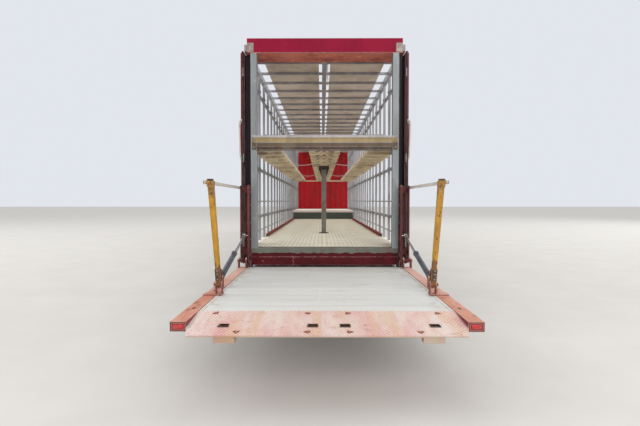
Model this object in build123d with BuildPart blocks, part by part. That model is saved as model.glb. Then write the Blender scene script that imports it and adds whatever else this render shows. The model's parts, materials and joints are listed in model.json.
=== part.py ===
from build123d import *
import math
import os

os.makedirs("parts", exist_ok=True)

# All sizes are in millimetres. +Y is forward, +X is to the right and +Z is up from the road.

# Layout along the vehicle
TRAILER_LEN = 13600
PLATFORM_REACH = 3050
PIN_SETBACK = 1600
NOSE_OVERHANG = 1400
WHEELBASE = 3650
FIFTH_WHEEL_LEAD = 620
NOSE_TO_PIN = NOSE_OVERHANG + WHEELBASE - FIFTH_WHEEL_LEAD
OVERALL = PLATFORM_REACH + TRAILER_LEN - PIN_SETBACK + NOSE_TO_PIN
NOSE = OVERALL / 2
REAR = PLATFORM_REACH - NOSE
TRAILER_FRONT = REAR + TRAILER_LEN
PIN_Y = TRAILER_FRONT - PIN_SETBACK
DRIVE_Y = PIN_Y - FIFTH_WHEEL_LEAD
STEER_Y = DRIVE_Y + WHEELBASE

# Clearances
RUN_CLEAR = 0.05
SLIDE_CLEAR = 0.3
GAP = 5

# Trailer body
FLOOR_HALF = 1200
FLOOR_TOP = 930
FLOOR_THICK = 60
STEP_RISE = 330
STEP_BACK = 3500
RISER = 40
ROOF_TOP = 4000
ROOF_STEP = 50
SIDE_IN = 1130
POST = 40
SIDE_OUT = SIDE_IN + POST
POST_PITCH = 600
FIRST_POST = 700
CANT_DEPTH = 100
CANT_TOP = ROOF_TOP - ROOF_STEP
CANT_BOTTOM = CANT_TOP - CANT_DEPTH
WALL = 60
FLOOR_UNDER = FLOOR_TOP - FLOOR_THICK
NECK_TOP = FLOOR_TOP + STEP_RISE
NECK_UNDER = NECK_TOP - FLOOR_THICK
STEP_Y = TRAILER_FRONT - STEP_BACK
FRONT_IN = TRAILER_FRONT - WALL
POST_COUNT = int((TRAILER_LEN - FIRST_POST - WALL - POST) // POST_PITCH) + 1
POST_YS = [REAR + FIRST_POST + i * POST_PITCH for i in range(POST_COUNT)]

# Trailer running gear
BEAM_IN = 450
BEAM_OUT = 600
BEAM_BOTTOM = 550
BEAM_START = 150
FLANGE = 14
WEB = 12
COUPLING_Z = 1100
PIN_R = 25.4
PIN_LEN = 84
TRAILER_WHEEL_R = 420
TRAILER_TYRE_W = 250
TRAILER_WHEEL_X = 1110
AXLE_SPREAD = 1310
BOGIE_FROM_PIN = 8000
AXLE_YS = [PIN_Y - BOGIE_FROM_PIN + s * AXLE_SPREAD / 2 for s in (-1, 1)]

# Rear portal, columns and folded doors
PORTAL_DEPTH = 120
SILL_BOTTOM = 680
SILL_DEPTH = 150
SILL_BAND = 125
HEADER_H = 210
HEADER_BOTTOM = ROOF_TOP - HEADER_H
HEADER_HALF = 1140
HEADER_DEPTH = 430
REAR_POST_IN = 1000
COLUMN_IN = 1085
COLUMN_OUT = 1180
COLUMN_WALL = 8
COLUMN_BOTTOM = 450
LEAF = 25
LEAF_IN = 1203
LEAF_LEN = 600
LEAF_STAGGER = 70

# Mid deck
DECK_UNDER = 2420
DECK_THICK = 40
RIB_DEPTH = 40
DECK_LIP = 20
DECK_END = 200
CROSSBEAM_BOTTOM = 2380
CROSSBEAM_TOP = 2590
CENTRE_POST_Y = REAR + 2950
CENTRE_POST = 100

# Tail lift: the hinge line O is behind the rear frame and above the beams
HINGE_BACK = 85
HINGE_Z = 760
HINGE_Y = REAR - HINGE_BACK
PLATE_TOP = 650
PLATE_THICK = 25
LIP_LEN = 510
PLATE_END = PLATFORM_REACH - LIP_LEN
BEAM_INNER = 1135
BEAM_W = 130
BEAM_H = 80
BEAM_TOP = 655
BEAM_SETBACK = 150
BEAM_END = PLATFORM_REACH - BEAM_SETBACK
LIP_EDGE_TOP = 590
LIP_THICK = 12
LIP_HALF = 1090
CHEEK_IN = 1098
CHEEK_OUT = 1120
HINGE_PIN_R = 20
GATE_REACH = 1800
GATE_RISE = 1060
GATE_PIN_R = 8
RAIL_X = 1245
RAIL_SIZE = 24
CYL_X = 1175
CYL_FOOT = 1460
CYL_HEAD = 360
BARREL_R = 32
BARREL_LEN = 780
ROD_R = 18
ROD_LEN = 850
EYE_R = 30
EYE_W = 40
CYL_PIN_R = 12

# Tractor
TYRE_R = 507
TYRE_W = 312
STEER_WHEEL_X = 1089
TWIN_SPACING = 345
TWIN_X = STEER_WHEEL_X - TWIN_SPACING / 2
STEER_AXIS_X = 900
RAIL_IN = 360
RAIL_OUT = 440
RAIL_BOTTOM = 700
RAIL_TOP = 950
RAIL_WALL = 8
RAIL_TAIL = 750
CAB_LEN = 2250
CAB_HALF = 1245
CAB_UNDER = 1100
CAB_ROOF = 3600
CAB_WALL = 50
CAB_BACK = NOSE - CAB_LEN
SCREEN_FOOT_Z = 1950
SCREEN_HEAD_Z = 2950
PANEL_SETBACK = 60
SCREEN_RAKE = 200
DOOR_FRONT = NOSE - 330
DOOR_LEN = 900
DOOR_BOTTOM = 1160
DOOR_TOP = 2900
DOOR_THICK = 50
DOOR_GAP = 8
DOOR_HINGE_X = CAB_HALF + 13
BUMPER_DEPTH = 200
BUMPER_BOTTOM = 380


def span(low, high):
    """Middle and length of the stretch between two values"""
    return (low + high) / 2, high - low


def block(xs, ys, zs, mode=Mode.ADD):
    """Box between a low and a high value on each axis"""
    (x, dx), (y, dy), (z, dz) = span(*xs), span(*ys), span(*zs)
    with Locations((x, y, z)):
        Box(dx, dy, dz, mode=mode)


def pair(xs, ys, zs, mode=Mode.ADD):
    """The same box on the right and on the left"""
    (x, dx), (y, dy), (z, dz) = span(*xs), span(*ys), span(*zs)
    with Locations((x, y, z), (-x, y, z)):
        Box(dx, dy, dz, mode=mode)


def cross_rod(xs, y, z, radius, mode=Mode.ADD):
    """Round bar along X on both sides"""
    x, dx = span(*xs)
    with Locations((x, y, z), (-x, y, z)):
        Cylinder(radius, dx, rotation=(0, 90, 0), mode=mode)


def section(y):
    """Sketch plane across the vehicle: its x is +X and its y is +Z"""
    return Plane(origin=(0, y, 0), x_dir=(1, 0, 0), z_dir=(0, -1, 0))


def flank(x):
    """Sketch plane along the vehicle: its x is +Y and its y is +Z"""
    return Plane.YZ.offset(x)


# Trailer main beams: I-sections that slope up to the neck, with cross members through their webs
# and two air tanks strapped beneath them
NECK_LEAD = 1500
SLOPE_LEN = 600
MEMBER_HALF = 960
MEMBER_W = 60
LOW_MEMBER_DEPTH = 80
PIN_PLATE = 12
PIN_PLATE_HALF = 450
LEG_X = (680, 780)
LEG_BACK = 2500
AIR_TANKS = 2
AIR_TANK_R = 110
AIR_TANK_HALF = 380
AIR_STRAP = (250, 290)
neck_start = PIN_Y - NECK_LEAD
leg_y = PIN_Y - LEG_BACK
leg_w = LEG_X[1] - LEG_X[0]
low_outline = [
    (REAR + BEAM_START, BEAM_BOTTOM),
    (neck_start - SLOPE_LEN, BEAM_BOTTOM),
    (neck_start, COUPLING_Z),
    (neck_start, NECK_UNDER),
    (STEP_Y + RISER, NECK_UNDER),
    (STEP_Y + RISER, FLOOR_UNDER),
    (REAR + BEAM_START, FLOOR_UNDER),
]
neck_outline = [
    (neck_start, COUPLING_Z),
    (FRONT_IN, COUPLING_Z),
    (FRONT_IN, NECK_UNDER),
    (neck_start, NECK_UNDER),
]


def beam_pair(outline):
    """Two I-beams with this side outline"""
    pocket = (BEAM_OUT - BEAM_IN - WEB) / 2
    with BuildPart() as beams:
        for x_low in (-BEAM_OUT, BEAM_IN):
            with BuildSketch(flank(x_low)):
                with BuildLine():
                    Polyline(*outline, close=True)
                make_face()
            extrude(amount=BEAM_OUT - BEAM_IN)
            for x_face in (x_low, x_low + BEAM_OUT - BEAM_IN - pocket):
                with BuildSketch(flank(x_face)):
                    with BuildLine():
                        Polyline(*outline, close=True)
                    make_face()
                    offset(amount=-FLANGE, kind=Kind.INTERSECTION, mode=Mode.REPLACE)
                extrude(amount=pocket, mode=Mode.SUBTRACT)
    return beams.part


with BuildPart() as trailer_chassis:
    add(beam_pair(low_outline))
    leg_room = (leg_w + MEMBER_W) / 2 + GAP
    low_ys = [y + POST_PITCH / 2 for y in POST_YS if y + POST_PITCH < STEP_Y]
    low_ys = [y for y in low_ys if abs(y - leg_y) > leg_room]
    with Locations(*[(0, y, FLOOR_UNDER - LOW_MEMBER_DEPTH / 2) for y in low_ys]):
        Box(2 * MEMBER_HALF, MEMBER_W, LOW_MEMBER_DEPTH)
    tank_ys = [y for y in low_ys if y > AXLE_YS[1] + TRAILER_WHEEL_R][:AIR_TANKS]
    member_under = FLOOR_UNDER - LOW_MEMBER_DEPTH
    tank_z = member_under - AIR_TANK_R - GAP
    for y in tank_ys:
        with Locations((0, y, tank_z)):
            Cylinder(AIR_TANK_R, 2 * AIR_TANK_HALF, rotation=(0, 90, 0))
        pair(AIR_STRAP, (y - MEMBER_W / 2, y + MEMBER_W / 2), (tank_z, member_under))
trailer_chassis.part.label = "trailer_chassis"
export_step(trailer_chassis.part, "parts/trailer_chassis.step")

# Gooseneck: shallow beams on from the slope, with cross members, the coupling plate and the kingpin
with BuildPart() as gooseneck:
    add(beam_pair(neck_outline))
    neck_ys = [y + POST_PITCH / 2 for y in POST_YS if neck_start < y < FRONT_IN - POST_PITCH]
    with Locations(*[(0, y, (COUPLING_Z + PIN_PLATE + NECK_UNDER) / 2) for y in neck_ys]):
        Box(2 * MEMBER_HALF, MEMBER_W, NECK_UNDER - COUPLING_Z - PIN_PLATE)
    block((-BEAM_OUT, BEAM_OUT), (PIN_Y - PIN_PLATE_HALF, PIN_Y + PIN_PLATE_HALF),
          (COUPLING_Z, COUPLING_Z + PIN_PLATE))
    with Locations((0, PIN_Y, COUPLING_Z)):
        Cylinder(PIN_R, PIN_LEN, align=(Align.CENTER, Align.CENTER, Align.MAX))
gooseneck.part.label = "gooseneck"
export_step(gooseneck.part, "parts/gooseneck.step")

# Trailer floor: low floor, riser and neck floor in one folded section, with kerbs and floor boards
KERB = 40
KERB_RISE = 60
KERB_START = 2000
FLOOR_START = REAR + SILL_DEPTH
RIB_T = 25
BOARD_T = 4
board_in = CENTRE_POST / 2 + GAP
with BuildPart() as trailer_floor:
    with BuildSketch(flank(-FLOOR_HALF)):
        with BuildLine():
            Polyline(
                (FLOOR_START, FLOOR_UNDER),
                (STEP_Y + RISER, FLOOR_UNDER),
                (STEP_Y + RISER, NECK_UNDER),
                (FRONT_IN, NECK_UNDER),
                (FRONT_IN, NECK_TOP),
                (STEP_Y, NECK_TOP),
                (STEP_Y, FLOOR_TOP),
                (FLOOR_START, FLOOR_TOP),
                close=True,
            )
        make_face()
    extrude(amount=2 * FLOOR_HALF)
    pair((SIDE_IN - KERB, SIDE_IN), (REAR + KERB_START, STEP_Y), (FLOOR_TOP, FLOOR_TOP + KERB_RISE))
    pair((board_in, SIDE_IN - KERB - GAP), (FLOOR_START, STEP_Y), (FLOOR_TOP, FLOOR_TOP + BOARD_T))
    block((GAP - SIDE_IN, SIDE_IN - GAP), (STEP_Y + RISER, FRONT_IN - 2 * RIB_T - GAP),
          (NECK_TOP, NECK_TOP + BOARD_T))
trailer_floor.part.label = "trailer_floor"
export_step(trailer_floor.part, "parts/trailer_floor.step")

# Side posts stand on the floor under the cant rails
with BuildPart() as side_posts:
    for y in POST_YS:
        foot = NECK_TOP if y > STEP_Y + RISER else FLOOR_TOP
        pair((SIDE_IN, SIDE_OUT), (y - POST / 2, y + POST / 2), (foot, CANT_BOTTOM))
side_posts.part.label = "side_posts"
export_step(side_posts.part, "parts/side_posts.step")

# Side rails run along the outside of the posts
RAIL_ZS = (NECK_TOP + 90, DECK_UNDER - 230, CANT_BOTTOM - 300)
RAIL_H = 50
RAIL_T = FLOOR_HALF - SIDE_OUT
with BuildPart() as side_rails:
    for z in RAIL_ZS:
        pair((SIDE_OUT, SIDE_OUT + RAIL_T), (REAR + PORTAL_DEPTH + GAP, FRONT_IN),
             (z - RAIL_H / 2, z + RAIL_H / 2))
side_rails.part.label = "side_rails"
export_step(side_rails.part, "parts/side_rails.step")

# Roof frame: cant rails, centre beam and one bow above each pair of posts
BOW = 40
CENTRE_HALF = 40
with BuildPart() as roof_frame:
    pair((HEADER_HALF, FLOOR_HALF), (REAR + PORTAL_DEPTH, FRONT_IN), (CANT_BOTTOM, CANT_TOP))
    block((-CENTRE_HALF, CENTRE_HALF), (REAR + HEADER_DEPTH, FRONT_IN), (CANT_BOTTOM, CANT_TOP))
    with Locations(*[(0, y, CANT_BOTTOM + BOW / 2) for y in POST_YS]):
        Box(2 * HEADER_HALF, BOW, BOW)
roof_frame.part.label = "roof_frame"
export_step(roof_frame.part, "parts/roof_frame.step")

# Roof panels lie on the bows, with open strips at the edges and the middle
PANEL_IN = 94
PANEL_OUT = 985
PANEL_T = 6
with BuildPart() as roof_panels:
    pair((PANEL_IN, PANEL_OUT), (REAR + HEADER_DEPTH, FRONT_IN),
         (CANT_BOTTOM + BOW, CANT_BOTTOM + BOW + PANEL_T))
roof_panels.part.label = "roof_panels"
export_step(roof_panels.part, "parts/roof_panels.step")

# Front wall with upright ribs and two rub bars on its inner side
RIB_W = 60
RIB_PITCH = 240
BAR_ZS = (2840, 3330)
BAR_H = 30
with BuildPart() as front_wall:
    block((-FLOOR_HALF, FLOOR_HALF), (FRONT_IN, TRAILER_FRONT), (COUPLING_Z, CANT_TOP))
    with Locations((0, FRONT_IN - RIB_T / 2, (NECK_TOP + CANT_BOTTOM) / 2)):
        with GridLocations(RIB_PITCH, 1, 9, 1):
            Box(RIB_W, RIB_T, CANT_BOTTOM - NECK_TOP)
    for z in BAR_ZS:
        block((-SIDE_IN, SIDE_IN), (FRONT_IN - 2 * RIB_T, FRONT_IN - RIB_T), (z - BAR_H / 2, z + BAR_H / 2))
front_wall.part.label = "front_wall"
export_step(front_wall.part, "parts/front_wall.step")

# Rear frame: header box above, and sill below with a groove under its top band
GROOVE = 10
with BuildPart() as rear_frame:
    block((-HEADER_HALF, HEADER_HALF), (REAR, REAR + HEADER_DEPTH), (HEADER_BOTTOM, ROOF_TOP))
    block((-COLUMN_IN, COLUMN_IN), (REAR, REAR + SILL_DEPTH), (SILL_BOTTOM, FLOOR_TOP))
    block((-COLUMN_IN, COLUMN_IN), (REAR, REAR + GAP),
          (FLOOR_TOP - SILL_BAND - GROOVE, FLOOR_TOP - SILL_BAND), mode=Mode.SUBTRACT)
rear_frame.part.label = "rear_frame"
export_step(rear_frame.part, "parts/rear_frame.step")

# Galvanised rear posts joined by the mid-level crossbeam
BAND = 45
with BuildPart() as rear_posts:
    pair((REAR_POST_IN, COLUMN_IN), (REAR, REAR + PORTAL_DEPTH), (FLOOR_TOP, HEADER_BOTTOM))
    block((-REAR_POST_IN, REAR_POST_IN), (REAR, REAR + PORTAL_DEPTH), (CROSSBEAM_BOTTOM, CROSSBEAM_TOP))
    block((-REAR_POST_IN, REAR_POST_IN), (REAR, REAR + GROOVE),
          (CROSSBEAM_BOTTOM + BAND, CROSSBEAM_TOP - BAND), mode=Mode.SUBTRACT)
rear_posts.part.label = "rear_posts"
export_step(rear_posts.part, "parts/rear_posts.step")

# Lift columns: channels open to the rear
with BuildPart() as lift_columns:
    pair((COLUMN_IN, COLUMN_OUT), (REAR, REAR + PORTAL_DEPTH), (COLUMN_BOTTOM, HEADER_BOTTOM))
    pair((COLUMN_IN + COLUMN_WALL, COLUMN_OUT - COLUMN_WALL), (REAR, REAR + PORTAL_DEPTH - COLUMN_WALL),
         (COLUMN_BOTTOM, HEADER_BOTTOM), mode=Mode.SUBTRACT)
lift_columns.part.label = "lift_columns"
export_step(lift_columns.part, "parts/lift_columns.step")

# Folded doors: two leaves a side, hinge blocks between them and a grab handle outside
LEAF_GAP = 5
LEAF_BOTTOM = SILL_BOTTOM + 10
LEAF_TOP = HEADER_BOTTOM + 50
HINGE_SET = 310
HINGE_ZS = (LEAF_BOTTOM + HINGE_SET, (LEAF_BOTTOM + LEAF_TOP) / 2, LEAF_TOP - HINGE_SET)
HINGE_H = 100
HINGE_L = 40
HANDLE_R = 7
HANDLE_Z = (2260, 2790)
HANDLE_BACK = 60
PRESS_DEPTH = 6
PRESS_EDGE = 90
PRESS_COUNT = 4
outer_leaf = LEAF_IN + LEAF + LEAF_GAP
press_pitch = (LEAF_TOP - LEAF_BOTTOM - PRESS_EDGE) / PRESS_COUNT
leaf_ys = [REAR + LEAF_STAGGER, REAR + 2 * LEAF_STAGGER]
with BuildPart() as folded_doors:
    pair((LEAF_IN, LEAF_IN + LEAF), (leaf_ys[0], leaf_ys[0] + LEAF_LEN), (LEAF_BOTTOM, LEAF_TOP))
    pair((outer_leaf, outer_leaf + LEAF), (leaf_ys[1], leaf_ys[1] + LEAF_LEN), (LEAF_BOTTOM, LEAF_TOP))
    for z in HINGE_ZS:
        pair((COLUMN_OUT, LEAF_IN), (leaf_ys[0], leaf_ys[0] + HINGE_L), (z - HINGE_H / 2, z + HINGE_H / 2))
        pair((LEAF_IN + LEAF, outer_leaf), (leaf_ys[1], leaf_ys[1] + HINGE_L),
             (z - HINGE_H / 2, z + HINGE_H / 2))
    for i in range(PRESS_COUNT):
        press_low = LEAF_BOTTOM + PRESS_EDGE + i * press_pitch
        pair((outer_leaf + LEAF - PRESS_DEPTH, outer_leaf + LEAF),
             (leaf_ys[1] + PRESS_EDGE, leaf_ys[1] + LEAF_LEN - PRESS_EDGE),
             (press_low, press_low + press_pitch - PRESS_EDGE), mode=Mode.SUBTRACT)
    handle_y = leaf_ys[1] + HANDLE_BACK
    handle_x = outer_leaf + LEAF + 3 + HANDLE_R
    for side in (-1, 1):
        with Locations((side * handle_x, handle_y, sum(HANDLE_Z) / 2)):
            Cylinder(HANDLE_R, HANDLE_Z[1] - HANDLE_Z[0])
    for z in HANDLE_Z:
        cross_rod((outer_leaf + LEAF, handle_x), handle_y, z, HANDLE_R)
folded_doors.part.label = "folded_doors"
export_step(folded_doors.part, "parts/folded_doors.step")

# Mid deck: wheel tracks stiffened by short ribs, tied at the far end, carried at the middle by one post
# Columns: inner x, outer x
TRACKS = ((30, 250), (690, SIDE_IN))
deck_start = REAR + PORTAL_DEPTH
deck_end = STEP_Y + DECK_END
with BuildPart() as mid_deck:
    for x_in, x_out in TRACKS:
        pair((x_in, x_out), (deck_start, deck_end), (DECK_UNDER, DECK_UNDER + DECK_THICK))
        for x_low in (x_in, x_out - WEB):
            pair((x_low, x_low + WEB), (deck_start, deck_end),
                 (DECK_UNDER + DECK_THICK, DECK_UNDER + DECK_THICK + DECK_LIP))
    centre_out = TRACKS[0][1]
    rib_z = (DECK_UNDER - RIB_DEPTH, DECK_UNDER)
    for y in [y for y in POST_YS if y < deck_end - POST_PITCH]:
        rib_y = (y - POST / 2, y + POST / 2)
        block((-centre_out, centre_out), rib_y, rib_z)
        pair(TRACKS[1], rib_y, rib_z)
    block((-SIDE_IN, SIDE_IN), (deck_end - POST, deck_end), rib_z)
    with Locations((0, CENTRE_POST_Y, FLOOR_TOP)):
        Box(CENTRE_POST, CENTRE_POST, rib_z[0] - FLOOR_TOP, align=(Align.CENTER, Align.CENTER, Align.MIN))
    block((-1.5 * CENTRE_POST, 1.5 * CENTRE_POST),
          (CENTRE_POST_Y - CENTRE_POST, CENTRE_POST_Y + CENTRE_POST), (DECK_UNDER - RIB_DEPTH, DECK_UNDER))
mid_deck.part.label = "mid_deck"
export_step(mid_deck.part, "parts/mid_deck.step")

# Trailer axles: tube, brakes and spindles, arms slung beneath, air springs up to the beams
AXLE_TUBE_R = 63
SPINDLE_R = 45
TRAILER_HUB_IN = 60
ARM_X = (490, 560)
TRAIL_T = 40
HANGER_LEAD = 520
SPRING_BACK = 300
SPRING_R = 100
BRAKE_R = 150
BRAKE_W = 120
HUB_END = 90
CAP_T = 20
trailer_spindle_end = TRAILER_WHEEL_X + HUB_END - CAP_T - SLIDE_CLEAR
trailer_hub_face = TRAILER_WHEEL_X - TRAILER_HUB_IN - SLIDE_CLEAR
with BuildPart() as trailer_axles:
    for y in AXLE_YS:
        with Locations((0, y, TRAILER_WHEEL_R)):
            Cylinder(AXLE_TUBE_R, 2 * trailer_hub_face, rotation=(0, 90, 0))
            Cylinder(SPINDLE_R, 2 * trailer_spindle_end, rotation=(0, 90, 0))
        cross_rod((trailer_hub_face - BRAKE_W, trailer_hub_face), y, TRAILER_WHEEL_R, BRAKE_R)
        arm_top = TRAILER_WHEEL_R - AXLE_TUBE_R + FLANGE
        for x_low in (ARM_X[0], -ARM_X[1]):
            with BuildSketch(flank(x_low)):
                with BuildLine():
                    Polyline(
                        (y + HANGER_LEAD, BEAM_BOTTOM),
                        (y + HANGER_LEAD - 2 * TRAIL_T, BEAM_BOTTOM),
                        (y + HANGER_LEAD - 2 * TRAIL_T, arm_top + 2 * TRAIL_T),
                        (y + AXLE_TUBE_R, arm_top),
                        (y - SPRING_BACK - SPRING_R, arm_top),
                        (y - SPRING_BACK - SPRING_R, arm_top - TRAIL_T),
                        (y + AXLE_TUBE_R, arm_top - TRAIL_T),
                        (y + HANGER_LEAD, arm_top + TRAIL_T),
                        close=True,
                    )
                make_face()
            extrude(amount=ARM_X[1] - ARM_X[0])
        arm_mid = sum(ARM_X) / 2
        spring_h = BEAM_BOTTOM - arm_top
        with Locations((arm_mid, y - SPRING_BACK, arm_top + spring_h / 2),
                       (-arm_mid, y - SPRING_BACK, arm_top + spring_h / 2)):
            Cylinder(SPRING_R, spring_h)
trailer_axles.part.label = "trailer_axles"
export_step(trailer_axles.part, "parts/trailer_axles.step")

# Landing legs, wound up, with their cross brace
LEG_BOTTOM = 400
FOOT = 220
FOOT_T = 12
BRACE_Z = (470, 520)
with BuildPart() as landing_legs:
    leg_mid = sum(LEG_X) / 2
    pair(LEG_X, (leg_y - leg_w / 2, leg_y + leg_w / 2), (LEG_BOTTOM, FLOOR_UNDER))
    pair((leg_mid - FOOT / 2, leg_mid + FOOT / 2), (leg_y - FOOT / 2, leg_y + FOOT / 2),
         (LEG_BOTTOM - FOOT_T, LEG_BOTTOM))
    block((-LEG_X[0], LEG_X[0]), (leg_y - FOOT_T, leg_y + FOOT_T), BRACE_Z)
landing_legs.part.label = "landing_legs"
export_step(landing_legs.part, "parts/landing_legs.step")

# Underrun guards at the sides, and the rear bumper
GUARD_X = (1165, 1195)
HANGER_T = 15
GUARD_ZS = ((440, 540), (680, 780))
HANGER_W = 60
HANGER_PITCH = 900
GUARD_START = 500
WHEEL_ROOM = 150
guard_runs = [
    (REAR + GUARD_START, AXLE_YS[0] - TRAILER_WHEEL_R - WHEEL_ROOM),
    (AXLE_YS[1] + TRAILER_WHEEL_R + WHEEL_ROOM, leg_y - FOOT),
]
BUMPER_Y = (200, 300)
BUMPER_HALF = 1050
BUMPER_Z = (430, 530)
with BuildPart() as underrun_guards:
    for y_low, y_high in guard_runs:
        for zs in GUARD_ZS:
            pair(GUARD_X, (y_low, y_high), zs)
        gaps = max(1, int((y_high - y_low - HANGER_W) // HANGER_PITCH))
        step = (y_high - y_low - HANGER_W) / gaps
        for i in range(gaps + 1):
            pair((GUARD_X[0] - HANGER_T, GUARD_X[0]), (y_low + i * step, y_low + i * step + HANGER_W),
                 (GUARD_ZS[0][0], FLOOR_UNDER))
    block((-BUMPER_HALF, BUMPER_HALF), (REAR + BUMPER_Y[0], REAR + BUMPER_Y[1]), BUMPER_Z)
    pair((BEAM_IN, BEAM_OUT), (REAR + BUMPER_Y[0], REAR + BUMPER_Y[1]), (BUMPER_Z[1], BEAM_BOTTOM))
underrun_guards.part.label = "underrun_guards"
export_step(underrun_guards.part, "parts/underrun_guards.step")

# Mud flaps behind the last trailer axle
FLAP_T = 8
FLAP_BOTTOM = 250
FLAP_BACK = 80
flap_y = AXLE_YS[0] - TRAILER_WHEEL_R - FLAP_BACK
tyre_in = TRAILER_WHEEL_X - TRAILER_TYRE_W / 2
with BuildPart() as mud_flaps:
    pair((tyre_in, FLOOR_HALF - POST), (flap_y, flap_y + FLAP_T), (FLAP_BOTTOM, FLOOR_UNDER))
mud_flaps.part.label = "mud_flaps"
export_step(mud_flaps.part, "parts/mud_flaps.step")

# Tail-lift carriage: a slide in each column, a cheek plate on it, and an outer cheek beyond the cylinder
SLIDE_Z = (660, 1850)
CHEEK_FOOT_R = 45
CHEEK_HEAD_R = 40
PIN_END = 1262
OUTER_FOOT_R = 35
OUTER_HEAD_R = 30
ARM_T = 20
ARM_FEET = (80, 980)
ARM_H = 80
outer_cheek = (CYL_X + BARREL_R + GAP, RAIL_X - RAIL_SIZE / 2 - GAP)
arm_ys = (REAR - 2 * ARM_T, REAR - ARM_T)
with BuildPart() as lift_carriage:
    pair((COLUMN_IN + COLUMN_WALL + SLIDE_CLEAR, COLUMN_OUT - COLUMN_WALL - SLIDE_CLEAR),
         (REAR + COLUMN_WALL, REAR + PORTAL_DEPTH - COLUMN_WALL - GAP), SLIDE_Z)
    for x_low in (CHEEK_IN, -CHEEK_OUT):
        with BuildSketch(flank(x_low)):
            with Locations((HINGE_Y, HINGE_Z)):
                Circle(CHEEK_FOOT_R)
            with Locations((HINGE_Y, HINGE_Z + GATE_RISE)):
                Circle(CHEEK_HEAD_R)
            with BuildLine():
                Polyline(
                    (HINGE_Y - CHEEK_FOOT_R, HINGE_Z),
                    (REAR + COLUMN_WALL, HINGE_Z),
                    (REAR + COLUMN_WALL, HINGE_Z + GATE_RISE),
                    (HINGE_Y - CHEEK_HEAD_R, HINGE_Z + GATE_RISE),
                    close=True,
                )
            make_face()
        extrude(amount=CHEEK_OUT - CHEEK_IN)
    for x_low in (outer_cheek[0], -outer_cheek[1]):
        with BuildSketch(flank(x_low)):
            with Locations((HINGE_Y, HINGE_Z)):
                Circle(OUTER_FOOT_R)
            with Locations((HINGE_Y, HINGE_Z + GATE_RISE)):
                Circle(OUTER_HEAD_R)
            with Locations((HINGE_Y, HINGE_Z + GATE_RISE / 2)):
                Rectangle(2 * OUTER_HEAD_R, GATE_RISE)
            for rise in ARM_FEET:
                with Locations((HINGE_Y, HINGE_Z + rise)):
                    Rectangle(arm_ys[1] - HINGE_Y, ARM_H, align=(Align.MIN, Align.MIN))
        extrude(amount=outer_cheek[1] - outer_cheek[0])
    for rise in ARM_FEET:
        pair((CHEEK_OUT, outer_cheek[0]), arm_ys, (HINGE_Z + rise, HINGE_Z + rise + ARM_H))
    cross_rod((CHEEK_OUT, PIN_END), HINGE_Y, HINGE_Z, HINGE_PIN_R)
    cross_rod((outer_cheek[0], PIN_END), HINGE_Y, HINGE_Z + GATE_RISE, GATE_PIN_R)
lift_carriage.part.label = "lift_carriage"
export_step(lift_carriage.part, "parts/lift_carriage.step")

# Platform frame: side beams, hinge lugs, cylinder lugs, gate brackets and cross tubes
LUG_T = 20
LUG_R = 40
GATE_BASE_X = 1110
GATE_TOP_X = 1190
GATE_POST = 60
BRACKET_T = 10
GATE_FOOT_W = 50
GATE_FOOT_R = 30
FOOT_PIN_R = 10
TUBE_W = 60
TUBE_LEAD = 100
TUBE_COUNT = 5
END_RIM = 15
END_DEPTH = 25
TOP_SLOT = (30, 70, 12)
TOP_SLOT_YS = (1700, 2465)
beam_outer = BEAM_INNER + BEAM_W
beam_bottom = BEAM_TOP - BEAM_H
gate_y = HINGE_Y - GATE_REACH
cyl_y = HINGE_Y - CYL_FOOT
tube_pitch = (PLATE_END - TUBE_LEAD - TUBE_W) / (TUBE_COUNT - 1)
tube_ys = [REAR - TUBE_LEAD - i * tube_pitch for i in range(TUBE_COUNT)]
cyl_lug_in = CYL_X - EYE_W / 2 - SLIDE_CLEAR
cyl_lug_out = CYL_X + EYE_W / 2 + SLIDE_CLEAR
foot_in = GATE_BASE_X - GATE_FOOT_W / 2 - SLIDE_CLEAR
foot_out = GATE_BASE_X + GATE_FOOT_W / 2 + SLIDE_CLEAR
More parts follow.
